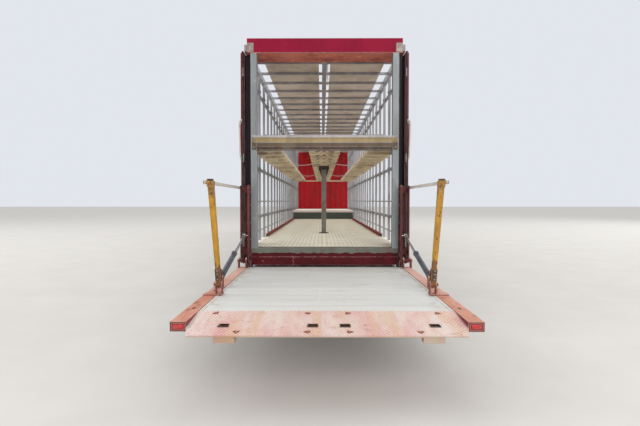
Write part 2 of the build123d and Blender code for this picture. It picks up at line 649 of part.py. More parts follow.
# Columns: inner x, thickness, y of the eye, eye radius, bore radius or None
LUGS = (
    (BEAM_INNER, LUG_T, HINGE_Y, LUG_R, HINGE_PIN_R + RUN_CLEAR),
    (beam_outer - LUG_T, LUG_T, HINGE_Y, LUG_R, HINGE_PIN_R + RUN_CLEAR),
    (cyl_lug_in - BRACKET_T, BRACKET_T, cyl_y, EYE_R, None),
    (cyl_lug_out, BRACKET_T, cyl_y, EYE_R, None),
    (foot_in - BRACKET_T, BRACKET_T, gate_y, GATE_FOOT_R, None),
    (foot_out, BRACKET_T, gate_y, GATE_FOOT_R, None),
)
with BuildPart() as platform_frame:
    pair((BEAM_INNER, beam_outer), (REAR - BEAM_END, REAR - 4 * GAP), (beam_bottom, BEAM_TOP))
    pair((foot_in - BRACKET_T, beam_outer), (gate_y - GATE_POST, gate_y + GATE_POST),
         (BEAM_TOP, BEAM_TOP + BRACKET_T))
    pair((BEAM_INNER + END_RIM, beam_outer - END_RIM), (REAR - BEAM_END, REAR - BEAM_END + END_DEPTH),
         (beam_bottom + END_RIM, BEAM_TOP - END_RIM), mode=Mode.SUBTRACT)
    for y in TOP_SLOT_YS:
        slot_x, slot_y = BEAM_INNER + BEAM_W / 2, REAR - y
        pair((slot_x - TOP_SLOT[0] / 2, slot_x + TOP_SLOT[0] / 2),
             (slot_y - TOP_SLOT[1] / 2, slot_y + TOP_SLOT[1] / 2),
             (BEAM_TOP - TOP_SLOT[2], BEAM_TOP), mode=Mode.SUBTRACT)
    for y in tube_ys:
        block((-BEAM_INNER, BEAM_INNER), (y - TUBE_W / 2, y + TUBE_W / 2),
              (beam_bottom, PLATE_TOP - PLATE_THICK))
    for x_in, thick, y, radius, bore in LUGS:
        for x_low in (x_in, -x_in - thick):
            with BuildSketch(flank(x_low)):
                with Locations((y, HINGE_Z)):
                    Circle(radius)
                with Locations((y, (HINGE_Z + BEAM_TOP) / 2)):
                    Rectangle(2 * radius, HINGE_Z - BEAM_TOP)
                if bore:
                    with Locations((y, HINGE_Z)):
                        Circle(bore, mode=Mode.SUBTRACT)
            extrude(amount=thick)
    cross_rod((cyl_lug_in, cyl_lug_out), cyl_y, HINGE_Z, CYL_PIN_R)
    cross_rod((foot_in, foot_out), gate_y, HINGE_Z, FOOT_PIN_R)
platform_frame.part.label = "platform_frame"
export_step(platform_frame.part, "parts/platform_frame.step")

# Platform deck between the beams
with BuildPart() as platform_deck:
    block((-BEAM_INNER, BEAM_INNER), (REAR - PLATE_END, REAR - 2 * GAP), (PLATE_TOP - PLATE_THICK, PLATE_TOP))
platform_deck.part.label = "platform_deck"
export_step(platform_deck.part, "parts/platform_deck.step")

# Ramp lip: sloping plate with tapered corners, hand slots, holes and two rest pads
SLOT_XS = (-840, -115, 148, 877)
SLOT_SIZE = (72, 60)
SLOT_Y = PLATFORM_REACH - 196
HOLE_R = 7
# Columns: distance of the row from the rear frame, x of its holes
HOLE_ROWS = (
    (PLATFORM_REACH - 458, (-967, -163, 184, 970)),
    (PLATFORM_REACH - 72, (-715, -154, 178, 735)),
)
# Columns: middle x, width
PADS = ((-800, 168), (826, 168))
PAD_Y = (PLATFORM_REACH - 80, PLATFORM_REACH - 10)
PAD_BOTTOM = 530
with BuildPart() as platform_lip:
    with BuildSketch(flank(-BEAM_INNER)):
        with BuildLine():
            Polyline(
                (REAR - PLATE_END, PLATE_TOP),
                (REAR - PLATE_END, PLATE_TOP - LIP_THICK),
                (REAR - PLATFORM_REACH, LIP_EDGE_TOP - LIP_THICK),
                (REAR - PLATFORM_REACH, LIP_EDGE_TOP),
                close=True,
            )
        make_face()
    extrude(amount=2 * BEAM_INNER)
    with BuildSketch(Plane.XY.offset(LIP_EDGE_TOP - 2 * LIP_THICK)):
        with BuildLine():
            Polyline(
                (-BEAM_INNER, REAR - PLATE_END),
                (-BEAM_INNER, REAR - BEAM_END),
                (-LIP_HALF, REAR - PLATFORM_REACH),
                (LIP_HALF, REAR - PLATFORM_REACH),
                (BEAM_INNER, REAR - BEAM_END),
                (BEAM_INNER, REAR - PLATE_END),
                close=True,
            )
        make_face()
        with Locations(*[(x, REAR - SLOT_Y) for x in SLOT_XS]):
            Rectangle(*SLOT_SIZE, mode=Mode.SUBTRACT)
        with Locations(*[(x, REAR - y) for y, row in HOLE_ROWS for x in row]):
            Circle(HOLE_R, mode=Mode.SUBTRACT)
    extrude(amount=PLATE_TOP - LIP_EDGE_TOP + 3 * LIP_THICK, mode=Mode.INTERSECT)
    for x, width in PADS:
        block((x - width / 2, x + width / 2), (REAR - PAD_Y[1], REAR - PAD_Y[0]), (PAD_BOTTOM, LIP_EDGE_TOP))
platform_lip.part.label = "platform_lip"
export_step(platform_lip.part, "parts/platform_lip.step")

# Gate posts lean outwards from their foot pin to the pin of the top rail
HEAD_R = 22
rail_in = RAIL_X - RAIL_SIZE / 2
with BuildPart() as gate_posts:
    for side in (-1, 1):
        with BuildSketch(section(gate_y - GATE_POST / 2)):
            with BuildLine():
                Polyline(
                    (side * (GATE_BASE_X - GATE_FOOT_W / 2 + GAP), HINGE_Z),
                    (side * (GATE_BASE_X + GATE_FOOT_W / 2 - GAP), HINGE_Z),
                    (side * (GATE_TOP_X + GATE_POST / 2), HINGE_Z + GATE_RISE),
                    (side * (GATE_TOP_X - GATE_POST / 2), HINGE_Z + GATE_RISE),
                    close=True,
                )
            make_face()
        extrude(amount=-GATE_POST)
    cross_rod((GATE_BASE_X - GATE_FOOT_W / 2, GATE_BASE_X + GATE_FOOT_W / 2), gate_y, HINGE_Z, GATE_FOOT_R)
    cross_rod((GATE_BASE_X - GATE_FOOT_W, GATE_BASE_X + GATE_FOOT_W), gate_y, HINGE_Z,
              FOOT_PIN_R + RUN_CLEAR, mode=Mode.SUBTRACT)
    cross_rod((GATE_TOP_X, PIN_END), gate_y, HINGE_Z + GATE_RISE, GATE_PIN_R)
gate_posts.part.label = "gate_posts"
export_step(gate_posts.part, "parts/gate_posts.step")

# Gate rails run from the carriage to the post heads
OPEN_CLEAR = 0.5
with BuildPart() as gate_rails:
    pair((rail_in, rail_in + RAIL_SIZE), (gate_y, HINGE_Y),
         (HINGE_Z + GATE_RISE - RAIL_SIZE / 2, HINGE_Z + GATE_RISE + RAIL_SIZE / 2))
    for y in (gate_y, HINGE_Y):
        cross_rod((rail_in, rail_in + RAIL_SIZE), y, HINGE_Z + GATE_RISE, HEAD_R)
    cross_rod((rail_in - 1, rail_in + RAIL_SIZE + 1), HINGE_Y, HINGE_Z + GATE_RISE,
              GATE_PIN_R + RUN_CLEAR, mode=Mode.SUBTRACT)
    cross_rod((rail_in - 1, rail_in + RAIL_SIZE + 1), gate_y, HINGE_Z + GATE_RISE,
              GATE_PIN_R + OPEN_CLEAR, mode=Mode.SUBTRACT)
gate_rails.part.label = "gate_rails"
export_step(gate_rails.part, "parts/gate_rails.step")

# Platform cylinders: barrels pinned to the beams, rods that reach up to the carriage
cyl_angle = math.atan2(CYL_HEAD, CYL_FOOT)
cyl_len = math.hypot(CYL_HEAD, CYL_FOOT)
cyl_dir = (0, math.cos(cyl_angle), math.sin(cyl_angle))
BARREL_START = EYE_R + GAP + 3
BORE_START = BARREL_START + 20
NECK_R = 18


def along(x, distance):
    """Sketch plane square to the cylinder, a distance from its foot pin"""
    origin = (x, cyl_y + cyl_dir[1] * distance, HINGE_Z + cyl_dir[2] * distance)
    return Plane(origin=origin, x_dir=(1, 0, 0), z_dir=cyl_dir)


with BuildPart() as cylinder_barrels:
    for x in (-CYL_X, CYL_X):
        with BuildSketch(along(x, 0)):
            Circle(NECK_R)
        extrude(amount=BARREL_START)
        with BuildSketch(along(x, BARREL_START)):
            Circle(BARREL_R)
        extrude(amount=BARREL_LEN - BARREL_START)
        with BuildSketch(along(x, BORE_START)):
            Circle(ROD_R + RUN_CLEAR)
        extrude(amount=BARREL_LEN - BORE_START, mode=Mode.SUBTRACT)
    cross_rod((CYL_X - EYE_W / 2, CYL_X + EYE_W / 2), cyl_y, HINGE_Z, EYE_R)
    cross_rod((CYL_X - EYE_W, CYL_X + EYE_W), cyl_y, HINGE_Z, CYL_PIN_R + RUN_CLEAR, mode=Mode.SUBTRACT)
cylinder_barrels.part.label = "cylinder_barrels"
export_step(cylinder_barrels.part, "parts/cylinder_barrels.step")

with BuildPart() as cylinder_rods:
    for x in (-CYL_X, CYL_X):
        with BuildSketch(along(x, cyl_len - ROD_LEN)):
            Circle(ROD_R)
        extrude(amount=ROD_LEN)
    cross_rod((CYL_X - EYE_W / 2, CYL_X + EYE_W / 2), HINGE_Y, HINGE_Z + CYL_HEAD, EYE_R)
    cross_rod((CHEEK_OUT + SLIDE_CLEAR, CYL_X), HINGE_Y, HINGE_Z + CYL_HEAD, CYL_PIN_R)
cylinder_rods.part.label = "cylinder_rods"
export_step(cylinder_rods.part, "parts/cylinder_rods.step")

# Tractor chassis: channel rails with cross tubes, from the bumper to the tail
FRAME_R = 45
tail_y = DRIVE_Y - RAIL_TAIL
frame_front = NOSE - BUMPER_DEPTH
TUBE_FROM_DRIVE = (-650, 420, 1500)
TUBE_BEHIND_STEER = 900
TUBE_BEHIND_FRONT = 150
FRAME_YS = [DRIVE_Y + lead for lead in TUBE_FROM_DRIVE]
FRAME_YS += [STEER_Y - TUBE_BEHIND_STEER, frame_front - TUBE_BEHIND_FRONT]
RAIL_MID = (RAIL_BOTTOM + RAIL_TOP) / 2
with BuildPart() as tractor_chassis:
    pair((RAIL_IN, RAIL_OUT), (tail_y, frame_front), (RAIL_BOTTOM, RAIL_TOP))
    pair((RAIL_IN - 1, RAIL_OUT - RAIL_WALL), (tail_y, frame_front),
         (RAIL_BOTTOM + RAIL_WALL, RAIL_TOP - RAIL_WALL), mode=Mode.SUBTRACT)
    with Locations(*[(0, y, RAIL_MID) for y in FRAME_YS]):
        Cylinder(FRAME_R, 2 * (RAIL_OUT - RAIL_WALL / 2), rotation=(0, 90, 0))
tractor_chassis.part.label = "tractor_chassis"
export_step(tractor_chassis.part, "parts/tractor_chassis.step")

# Fifth wheel: horseshoe plate with a throat, on two pedestals and a base plate
PLATE_HALF = 480
PLATE_DEPTH = 50
THROAT = 160
BASE_T = 12
PEDESTAL_X = (330, 430)
PEDESTAL_L = 260
top_z = COUPLING_Z - SLIDE_CLEAR
with BuildPart() as fifth_wheel:
    with BuildSketch(Plane.XY.offset(top_z - PLATE_DEPTH)):
        with Locations((0, PIN_Y)):
            Circle(PLATE_HALF)
            Rectangle(2 * PLATE_HALF, 0.9 * PLATE_HALF, align=(Align.CENTER, Align.MAX), mode=Mode.ADD)
        with BuildLine():
            Polyline(
                (-0.3 * THROAT, PIN_Y - 1.2 * THROAT),
                (-1.5 * THROAT, PIN_Y - 1.1 * PLATE_HALF),
                (1.5 * THROAT, PIN_Y - 1.1 * PLATE_HALF),
                (0.3 * THROAT, PIN_Y - 1.2 * THROAT),
                close=True,
            )
        make_face(mode=Mode.SUBTRACT)
        with Locations((0, PIN_Y)):
            Circle(PIN_R + RUN_CLEAR, mode=Mode.SUBTRACT)
    extrude(amount=PLATE_DEPTH)
    pair(PEDESTAL_X, (PIN_Y - PEDESTAL_L / 2, PIN_Y + PEDESTAL_L / 2), (RAIL_TOP + BASE_T, top_z - PLATE_DEPTH))
    block((-RAIL_OUT, RAIL_OUT), (PIN_Y - PEDESTAL_L, PIN_Y + PEDESTAL_L), (RAIL_TOP, RAIL_TOP + BASE_T))
fifth_wheel.part.label = "fifth_wheel"
export_step(fifth_wheel.part, "parts/fifth_wheel.step")

# Cab shell: folded side outline, hollow, with openings for the screen and the doors
CORNER_R = 60
SCREEN_HALF = 1080
SCREEN_SILL = 70
BACK_TAPER = 150
BROW_BACK = 400
BROW_DROP = 75
ROOF_BACK = 800
panel_y = NOSE - PANEL_SETBACK
screen_head_y = panel_y - SCREEN_RAKE
brow_top = CAB_ROOF - BROW_DROP
cab_outline = [
    (CAB_BACK, CAB_UNDER),
    (panel_y, CAB_UNDER),
    (panel_y, SCREEN_FOOT_Z),
    (screen_head_y, SCREEN_HEAD_Z),
    (screen_head_y - BROW_BACK, brow_top),
    (screen_head_y - ROOF_BACK, CAB_ROOF),
    (CAB_BACK + BACK_TAPER, CAB_ROOF),
    (CAB_BACK, CAB_ROOF - BACK_TAPER),
]
door_rear = DOOR_FRONT - DOOR_LEN
DOOR_HINGE_ZS = (1350, 1900)
DOOR_PIN_R = 6
DOOR_BARREL_R = 12
DOOR_BARREL_H = 60
BRACKET_H = 20
BRACKET_LEN = 60
door_axis_y = DOOR_FRONT + DOOR_GAP / 2
with BuildPart() as cab_shell:
    with BuildSketch(flank(-CAB_HALF)):
        with BuildLine():
            Polyline(*cab_outline, close=True)
        make_face()
    extrude(amount=2 * CAB_HALF)
    front_edges = cab_shell.edges().filter_by_position(Axis.Y, screen_head_y - 1, NOSE).filter_by(
        lambda e: abs(abs(e.center().X) - CAB_HALF) < 1 and abs(e.tangent_at(0.5).Z) > 0.5)
    fillet(front_edges, CORNER_R)
    with BuildSketch(flank(CAB_WALL - CAB_HALF)):
        with BuildLine():
            Polyline(*cab_outline, close=True)
        make_face()
        offset(amount=-CAB_WALL, kind=Kind.INTERSECTION, mode=Mode.REPLACE)
    extrude(amount=2 * (CAB_HALF - CAB_WALL), mode=Mode.SUBTRACT)
    block((-SCREEN_HALF, SCREEN_HALF), (screen_head_y - 2 * SCREEN_RAKE, NOSE),
          (SCREEN_FOOT_Z + SCREEN_SILL, SCREEN_HEAD_Z - SCREEN_SILL), mode=Mode.SUBTRACT)
    pair((CAB_HALF - 2 * CAB_WALL, CAB_HALF + CAB_WALL), (door_rear - DOOR_GAP, DOOR_FRONT + DOOR_GAP),
         (DOOR_BOTTOM - DOOR_GAP, DOOR_TOP + DOOR_GAP), mode=Mode.SUBTRACT)
    for z in DOOR_HINGE_ZS:
        pair((CAB_HALF, DOOR_HINGE_X + DOOR_BARREL_R), (door_axis_y - DOOR_BARREL_R, DOOR_FRONT + BRACKET_LEN),
             (z - BRACKET_H, z))
        with Locations((DOOR_HINGE_X, door_axis_y, z), (-DOOR_HINGE_X, door_axis_y, z)):
            Cylinder(DOOR_PIN_R, DOOR_BARREL_H, align=(Align.CENTER, Align.CENTER, Align.MIN))
cab_shell.part.label = "cab_shell"
export_step(cab_shell.part, "parts/cab_shell.step")

# Windscreen: a strip parallel to the raked front, inside its opening
GLASS_T = 8
GLASS_INSET = 16


def screen_y(z, depth):
    """Distance forward of a point a depth inside the raked front"""
    return panel_y - SCREEN_RAKE * (z - SCREEN_FOOT_Z) / (SCREEN_HEAD_Z - SCREEN_FOOT_Z) - depth


glass_low = SCREEN_FOOT_Z + SCREEN_SILL
glass_high = SCREEN_HEAD_Z - SCREEN_SILL
with BuildPart() as windscreen:
    with BuildSketch(flank(-SCREEN_HALF)):
        with BuildLine():
            Polyline(
                (screen_y(glass_low, GLASS_INSET), glass_low),
                (screen_y(glass_low, GLASS_INSET + GLASS_T), glass_low),
                (screen_y(glass_high, GLASS_INSET + GLASS_T), glass_high),
                (screen_y(glass_high, GLASS_INSET), glass_high),
                close=True,
            )
        make_face()
    extrude(amount=2 * SCREEN_HALF)
windscreen.part.label = "windscreen"
export_step(windscreen.part, "parts/windscreen.step")

# Doors with a recessed pull, and their windows, hung on two pins at the front edge
WINDOW_SET = 90
WINDOW_Y = (door_rear + WINDOW_SET, DOOR_FRONT - WINDOW_SET)
WINDOW_Z = (2000, 2820)
PANE_T = 6
HINGE_LEAF_T = 6
NOTCH_X = 20
NOTCH_Y = 30
PULL_LEN = 180
PULL_H = 70
PULL_DEPTH = 20
PULL_BAR = 22
PULL_SET = 110
PULL_Z = 1780
door_in = CAB_HALF - DOOR_THICK
pull_y = door_rear + PULL_SET + PULL_LEN / 2
for side, name in ((-1, "left"), (1, "right")):
    with BuildPart() as door:
        x, dx = span(door_in, CAB_HALF)
        with Locations((side * x, (door_rear + DOOR_FRONT) / 2, (DOOR_BOTTOM + DOOR_TOP) / 2)):
            Box(dx, DOOR_LEN, DOOR_TOP - DOOR_BOTTOM)
        with Locations((side * x, sum(WINDOW_Y) / 2, sum(WINDOW_Z) / 2)):
            Box(2 * dx, WINDOW_Y[1] - WINDOW_Y[0], WINDOW_Z[1] - WINDOW_Z[0], mode=Mode.SUBTRACT)
        with Locations((side * CAB_HALF, pull_y, PULL_Z)):
            Box(2 * PULL_DEPTH, PULL_LEN, PULL_H, mode=Mode.SUBTRACT)
        with Locations((side * (CAB_HALF - PULL_BAR / 4), pull_y, PULL_Z)):
            Box(PULL_BAR / 2, PULL_LEN, PULL_BAR)
        for z in DOOR_HINGE_ZS:
            with Locations((side * CAB_HALF, DOOR_FRONT, z)):
                Box(2 * NOTCH_X, 2 * NOTCH_Y, BRACKET_H + GAP, mode=Mode.SUBTRACT,
                    align=(Align.CENTER, Align.CENTER, Align.MAX))
            barrel_h = DOOR_BARREL_H - SLIDE_CLEAR
            with Locations((side * DOOR_HINGE_X, door_axis_y, z + SLIDE_CLEAR)):
                Cylinder(DOOR_BARREL_R, barrel_h, align=(Align.CENTER, Align.CENTER, Align.MIN))
            with Locations((side * (CAB_HALF + HINGE_LEAF_T / 2), door_axis_y, z + SLIDE_CLEAR)):
                Box(HINGE_LEAF_T, 5 * DOOR_BARREL_R, barrel_h, align=(Align.CENTER, Align.MAX, Align.MIN))
            with Locations((side * DOOR_HINGE_X, door_axis_y, z)):
                Cylinder(DOOR_PIN_R + RUN_CLEAR, DOOR_BARREL_H + 1,
                         align=(Align.CENTER, Align.CENTER, Align.MIN), mode=Mode.SUBTRACT)
    door.part.label = "door_" + name
    export_step(door.part, "parts/door_" + name + ".step")
    with BuildPart() as pane:
        with Locations((side * x, sum(WINDOW_Y) / 2, sum(WINDOW_Z) / 2)):
            Box(PANE_T, WINDOW_Y[1] - WINDOW_Y[0], WINDOW_Z[1] - WINDOW_Z[0])
    pane.part.label = "door_glass_" + name
    export_step(pane.part, "parts/door_glass_" + name + ".step")

# Cab trim: slatted grille on the front panel, sun visor over the screen, and the mirrors on their arms
GRILLE_HALF = 850
GRILLE_Z = (1160, 1880)
GRILLE_T = 40
GRILLE_RIM = 50
SLAT_COUNT = 6
SLOT_H = 60
SLOT_DEPTH = 25
VISOR_HALF = 1080
VISOR_OUT = 180
VISOR_Z = (2900, 2912)
VISOR_FOOT = (2960, 3000)
MIRROR_GAP = 45
MIRROR_W = 160
MIRROR_X = (CAB_HALF + MIRROR_GAP, CAB_HALF + MIRROR_GAP + MIRROR_W)
MIRROR_DEPTH = 90
mirror_y = DOOR_FRONT + DOOR_GAP + 2
MIRROR_Y = (mirror_y, mirror_y + MIRROR_DEPTH)
MIRROR_Z = (2080, 2860)
ARM_ZS = (2150, 2780)
MIRROR_ARM = 12


def brow_y(z):
    """Distance forward of the slope above the screen"""
    return screen_head_y - BROW_BACK * (z - SCREEN_HEAD_Z) / (brow_top - SCREEN_HEAD_Z)


with BuildPart() as cab_trim:
    block((-GRILLE_HALF, GRILLE_HALF), (panel_y, panel_y + GRILLE_T), GRILLE_Z)
    slot_pitch = (GRILLE_Z[1] - GRILLE_Z[0]) / SLAT_COUNT
    for i in range(SLAT_COUNT):
        slot_low = GRILLE_Z[0] + i * slot_pitch + (slot_pitch - SLOT_H) / 2
        block((GRILLE_RIM - GRILLE_HALF, GRILLE_HALF - GRILLE_RIM),
              (panel_y + GRILLE_T - SLOT_DEPTH, panel_y + GRILLE_T), (slot_low, slot_low + SLOT_H),
              mode=Mode.SUBTRACT)
    with BuildSketch(flank(-VISOR_HALF)):
        with BuildLine():
            Polyline(
                (brow_y(VISOR_FOOT[0]), VISOR_FOOT[0]),
                (screen_head_y + VISOR_OUT, VISOR_Z[0]),
                (screen_head_y + VISOR_OUT, VISOR_Z[1]),
                (brow_y(VISOR_FOOT[1]), VISOR_FOOT[1]),
                close=True,
            )
        make_face()
    extrude(amount=2 * VISOR_HALF)
    pair(MIRROR_X, MIRROR_Y, MIRROR_Z)
    for z in ARM_ZS:
        pair((CAB_HALF, MIRROR_X[0]), (MIRROR_Y[0], MIRROR_Y[0] + 2 * MIRROR_ARM),
             (z - MIRROR_ARM, z + MIRROR_ARM))
cab_trim.part.label = "cab_trim"
export_step(cab_trim.part, "parts/cab_trim.step")

# Front bumper wraps round to the steps, with lamp recesses, an air intake and a towing socket
STEP_ARCH = 650
STEP_IN = 1000
LAMP_X = (820, 1180)
LAMP_Z = (720, 900)
LAMP_DEPTH = 60
LAMP_SETBACK = 40
CORNER_IN = 160
CORNER_BACK = 80
CORNER_ROUND = 60
STEP_ZS = ((480, 700), (760, 1000))
STEP_DEPTH = 160
STEP_EDGE = 50
STEP_FRONT = 260
INTAKE_HALF = 420
INTAKE_Z = (620, 780)
INTAKE_DEPTH = 50
TOW_X = 600
TOW_Z = 560
TOW_R = 25
TOW_DEPTH = 120
bumper_rear = STEER_Y + STEP_ARCH
with BuildPart() as front_bumper:
    with BuildSketch(Plane.XY.offset(BUMPER_BOTTOM)):
        with BuildLine():
            Polyline(
                (-CAB_HALF, bumper_rear), (-CAB_HALF, NOSE - CORNER_BACK), (-CAB_HALF + CORNER_IN, NOSE),
                (CAB_HALF - CORNER_IN, NOSE), (CAB_HALF, NOSE - CORNER_BACK), (CAB_HALF, bumper_rear),
                (STEP_IN, bumper_rear), (STEP_IN, frame_front), (-STEP_IN, frame_front),
                (-STEP_IN, bumper_rear), close=True,
            )
        make_face()
    extrude(amount=CAB_UNDER - BUMPER_BOTTOM)
    corner_edges = front_bumper.edges().filter_by(Axis.Z)
    corner_edges = corner_edges.filter_by_position(Axis.Y, NOSE - CORNER_BACK - 1, NOSE + 1)
    fillet(corner_edges, CORNER_ROUND)
    for zs in STEP_ZS:
        pair((CAB_HALF - STEP_DEPTH, CAB_HALF + 1), (bumper_rear + STEP_EDGE, NOSE - STEP_FRONT), zs,
             mode=Mode.SUBTRACT)
    pair(LAMP_X, (NOSE - LAMP_DEPTH, NOSE + 1), LAMP_Z, mode=Mode.SUBTRACT)
    block((-INTAKE_HALF, INTAKE_HALF), (NOSE - INTAKE_DEPTH, NOSE + 1), INTAKE_Z, mode=Mode.SUBTRACT)
    with Locations((TOW_X, NOSE - TOW_DEPTH / 2, TOW_Z)):
        Cylinder(TOW_R, TOW_DEPTH, rotation=(90, 0, 0), mode=Mode.SUBTRACT)
front_bumper.part.label = "front_bumper"
export_step(front_bumper.part, "parts/front_bumper.step")

# Headlamps fill the recesses of the bumper up to its rounded corner
with BuildPart() as headlamps:
    pair(LAMP_X, (NOSE - LAMP_DEPTH, NOSE - LAMP_SETBACK), LAMP_Z)
headlamps.part.label = "headlamps"
export_step(headlamps.part, "parts/headlamps.step")

# Fairings: a hollow deflector on the roof, open behind, and a flat one on each side behind the cab
FAIRING_WALL = 40
FAIRING_HALF = 1080
FAIRING_LEN = 1000
FAIRING_TOP = 3930
FAIRING_ROUND = 60
SIDE_REACH = (380, 300)
SIDE_DROP = 60
fairing_back = CAB_BACK + BACK_TAPER


def fairing_face(inset):
    """Curved wedge on the roof, drawn smaller by the inset for its hollow"""
    foot = (fairing_back + FAIRING_LEN - 4 * inset, CAB_ROOF)
    head = (fairing_back, FAIRING_TOP - inset)
    middle = (fairing_back + 0.45 * FAIRING_LEN, CAB_ROOF + 0.76 * (FAIRING_TOP - CAB_ROOF) - inset)
    with BuildSketch(flank(inset - FAIRING_HALF)) as face:
        with BuildLine():
            ThreePointArc(foot, middle, head)
            Polyline(head, (fairing_back, CAB_ROOF), foot)
        make_face()
    return face.sketch


with BuildPart() as cab_fairings:
    extrude(fairing_face(0), amount=2 * FAIRING_HALF)
    top_edges = cab_fairings.edges().filter_by(GeomType.CIRCLE)
    fillet(top_edges, FAIRING_ROUND)
    extrude(fairing_face(FAIRING_WALL), amount=2 * (FAIRING_HALF - FAIRING_WALL), mode=Mode.SUBTRACT)
    for x_low in (CAB_HALF - FAIRING_WALL, -CAB_HALF):
        with BuildSketch(flank(x_low)):
            with BuildLine():
                Polyline(
                    (CAB_BACK, CAB_UNDER + SIDE_DROP),
                    (CAB_BACK, CAB_ROOF - BACK_TAPER),
                    (CAB_BACK - SIDE_REACH[1], CAB_ROOF - BACK_TAPER - SIDE_DROP),
                    (CAB_BACK - SIDE_REACH[0], CAB_UNDER + SIDE_DROP),
                    close=True,
                )
            make_face()
        extrude(amount=FAIRING_WALL)
cab_fairings.part.label = "cab_fairings"
export_step(cab_fairings.part, "parts/cab_fairings.step")

# Cab interior: seats on their boxes, bunk and dashboard with its steering wheel
SEAT_X = 620
SEAT_W = 500
SEAT_H = 520
SEAT_L = 520
SEAT_SETBACK = 1090
BACKREST_T = 140
BACKREST_TOP = 1250
BUNK_W = 650
BUNK_H = 600
DASH_DEPTH = 420
DASH_Z = (400, 750)
WHEEL_RIM_R = 220
WHEEL_TUBE_R = 18
WHEEL_H = 900
COLUMN_TILT = 30
STALK_R = 30
STALK_LEN = 320
SPOKE = 40
floor_z = CAB_UNDER + CAB_WALL
seat_y = NOSE - SEAT_SETBACK
dash_y = panel_y - CAB_WALL
bunk_y = CAB_BACK + CAB_WALL
seat_x = (SEAT_X - SEAT_W / 2, SEAT_X + SEAT_W / 2)
with BuildPart() as cab_interior:
    pair(seat_x, (seat_y - SEAT_L / 2, seat_y + SEAT_L / 2), (floor_z, floor_z + SEAT_H))
    pair(seat_x, (seat_y - SEAT_L / 2 - BACKREST_T, seat_y - SEAT_L / 2),
         (floor_z + SEAT_H / 2, floor_z + BACKREST_TOP))
    block((CAB_WALL - CAB_HALF, CAB_HALF - CAB_WALL), (bunk_y, bunk_y + BUNK_W), (floor_z, floor_z + BUNK_H))
    block((CAB_WALL - CAB_HALF, CAB_HALF - CAB_WALL), (dash_y - DASH_DEPTH, dash_y),
          (floor_z + DASH_Z[0], floor_z + DASH_Z[1]))
    wheel_at = (-SEAT_X, dash_y - DASH_DEPTH - SPOKE, floor_z + WHEEL_H)
    with Locations(Location(wheel_at, (COLUMN_TILT, 0, 0))):
        Torus(WHEEL_RIM_R, WHEEL_TUBE_R)
        Cylinder(STALK_R, STALK_LEN, align=(Align.CENTER, Align.CENTER, Align.MAX))
        Box(2 * WHEEL_RIM_R - WHEEL_TUBE_R, SPOKE, WHEEL_TUBE_R)
cab_interior.part.label = "cab_interior"
export_step(cab_interior.part, "parts/cab_interior.step")

# Engine block between the rails under the cab floor, on four feet in the rail channels, with the
# shaft that runs back to the drive axle
ENGINE_HALF = RAIL_IN - 20
ENGINE_Y = (STEER_Y - 750, STEER_Y + 450)
ENGINE_Z = (RAIL_BOTTOM - 150, CAB_UNDER - 20)
ENGINE_FOOT = 80
SHAFT_R = 50
SHAFT_FLANGE_R = 85
SHAFT_FLANGE_T = 25
SHAFT_Z = 620
DRIVE_BULGE = 200
with BuildPart() as engine_block:
    block((-ENGINE_HALF, ENGINE_HALF), ENGINE_Y, ENGINE_Z)
    for y in ENGINE_Y:
        foot_y = y + math.copysign(ENGINE_FOOT, sum(ENGINE_Y) / 2 - y)
        pair((ENGINE_HALF, RAIL_OUT - RAIL_WALL), (foot_y - ENGINE_FOOT / 2, foot_y + ENGINE_FOOT / 2),
             (RAIL_MID - ENGINE_FOOT / 2, RAIL_MID + ENGINE_FOOT / 2))
    shaft_rear = (0, DRIVE_Y + DRIVE_BULGE + GAP / 2, TYRE_R)
    shaft_run = Vector(0, ENGINE_Y[0], SHAFT_Z) - Vector(*shaft_rear)
    with BuildSketch(Plane(origin=shaft_rear, x_dir=(1, 0, 0), z_dir=shaft_run.normalized())):
        Circle(SHAFT_R)
    extrude(amount=shaft_run.length)
    with BuildSketch(Plane(origin=shaft_rear, x_dir=(1, 0, 0), z_dir=shaft_run.normalized())):
        Circle(SHAFT_FLANGE_R)
    extrude(amount=SHAFT_FLANGE_T)
engine_block.part.label = "engine_block"
export_step(engine_block.part, "parts/engine_block.step")

# Side tanks with brackets to the rails
TANK_X = (640, CAB_HALF - 15)
TANK_LEAD = 760
TANK_TRAIL = 900
TANK_Y = (DRIVE_Y + TANK_LEAD, STEER_Y - TANK_TRAIL)
TANK_Z = (430, 960)
TANK_R = 90
STRAP_SET = 300
STRAP_W = 80
STRAP_Z = (RAIL_BOTTOM + 20, RAIL_BOTTOM + 140)
STRAP_HOLD = 20
with BuildPart() as side_tanks:
    pair(TANK_X, TANK_Y, TANK_Z)
    fillet(side_tanks.edges().filter_by(Axis.Y), TANK_R)
    for y in (TANK_Y[0] + STRAP_SET, TANK_Y[1] - STRAP_SET):
        pair((RAIL_OUT, TANK_X[0] + STRAP_HOLD), (y - STRAP_W / 2, y + STRAP_W / 2), STRAP_Z)
side_tanks.part.label = "side_tanks"
export_step(side_tanks.part, "parts/side_tanks.step")

# Tractor mudguards: arched over the drive wheels, with folded liners and flaps at the front wheels
GUARD_R = 560
GUARD_T = 8
GUARD_IN = 585
GUARD_OUT = CAB_HALF
GUARD_ARC = 75
STAY_R = 20
STAY_RISE = 30
STAY_SINK = 3
STAY_INSET = 60
LINER_IN = STEER_WHEEL_X - TYRE_W / 2 - 20
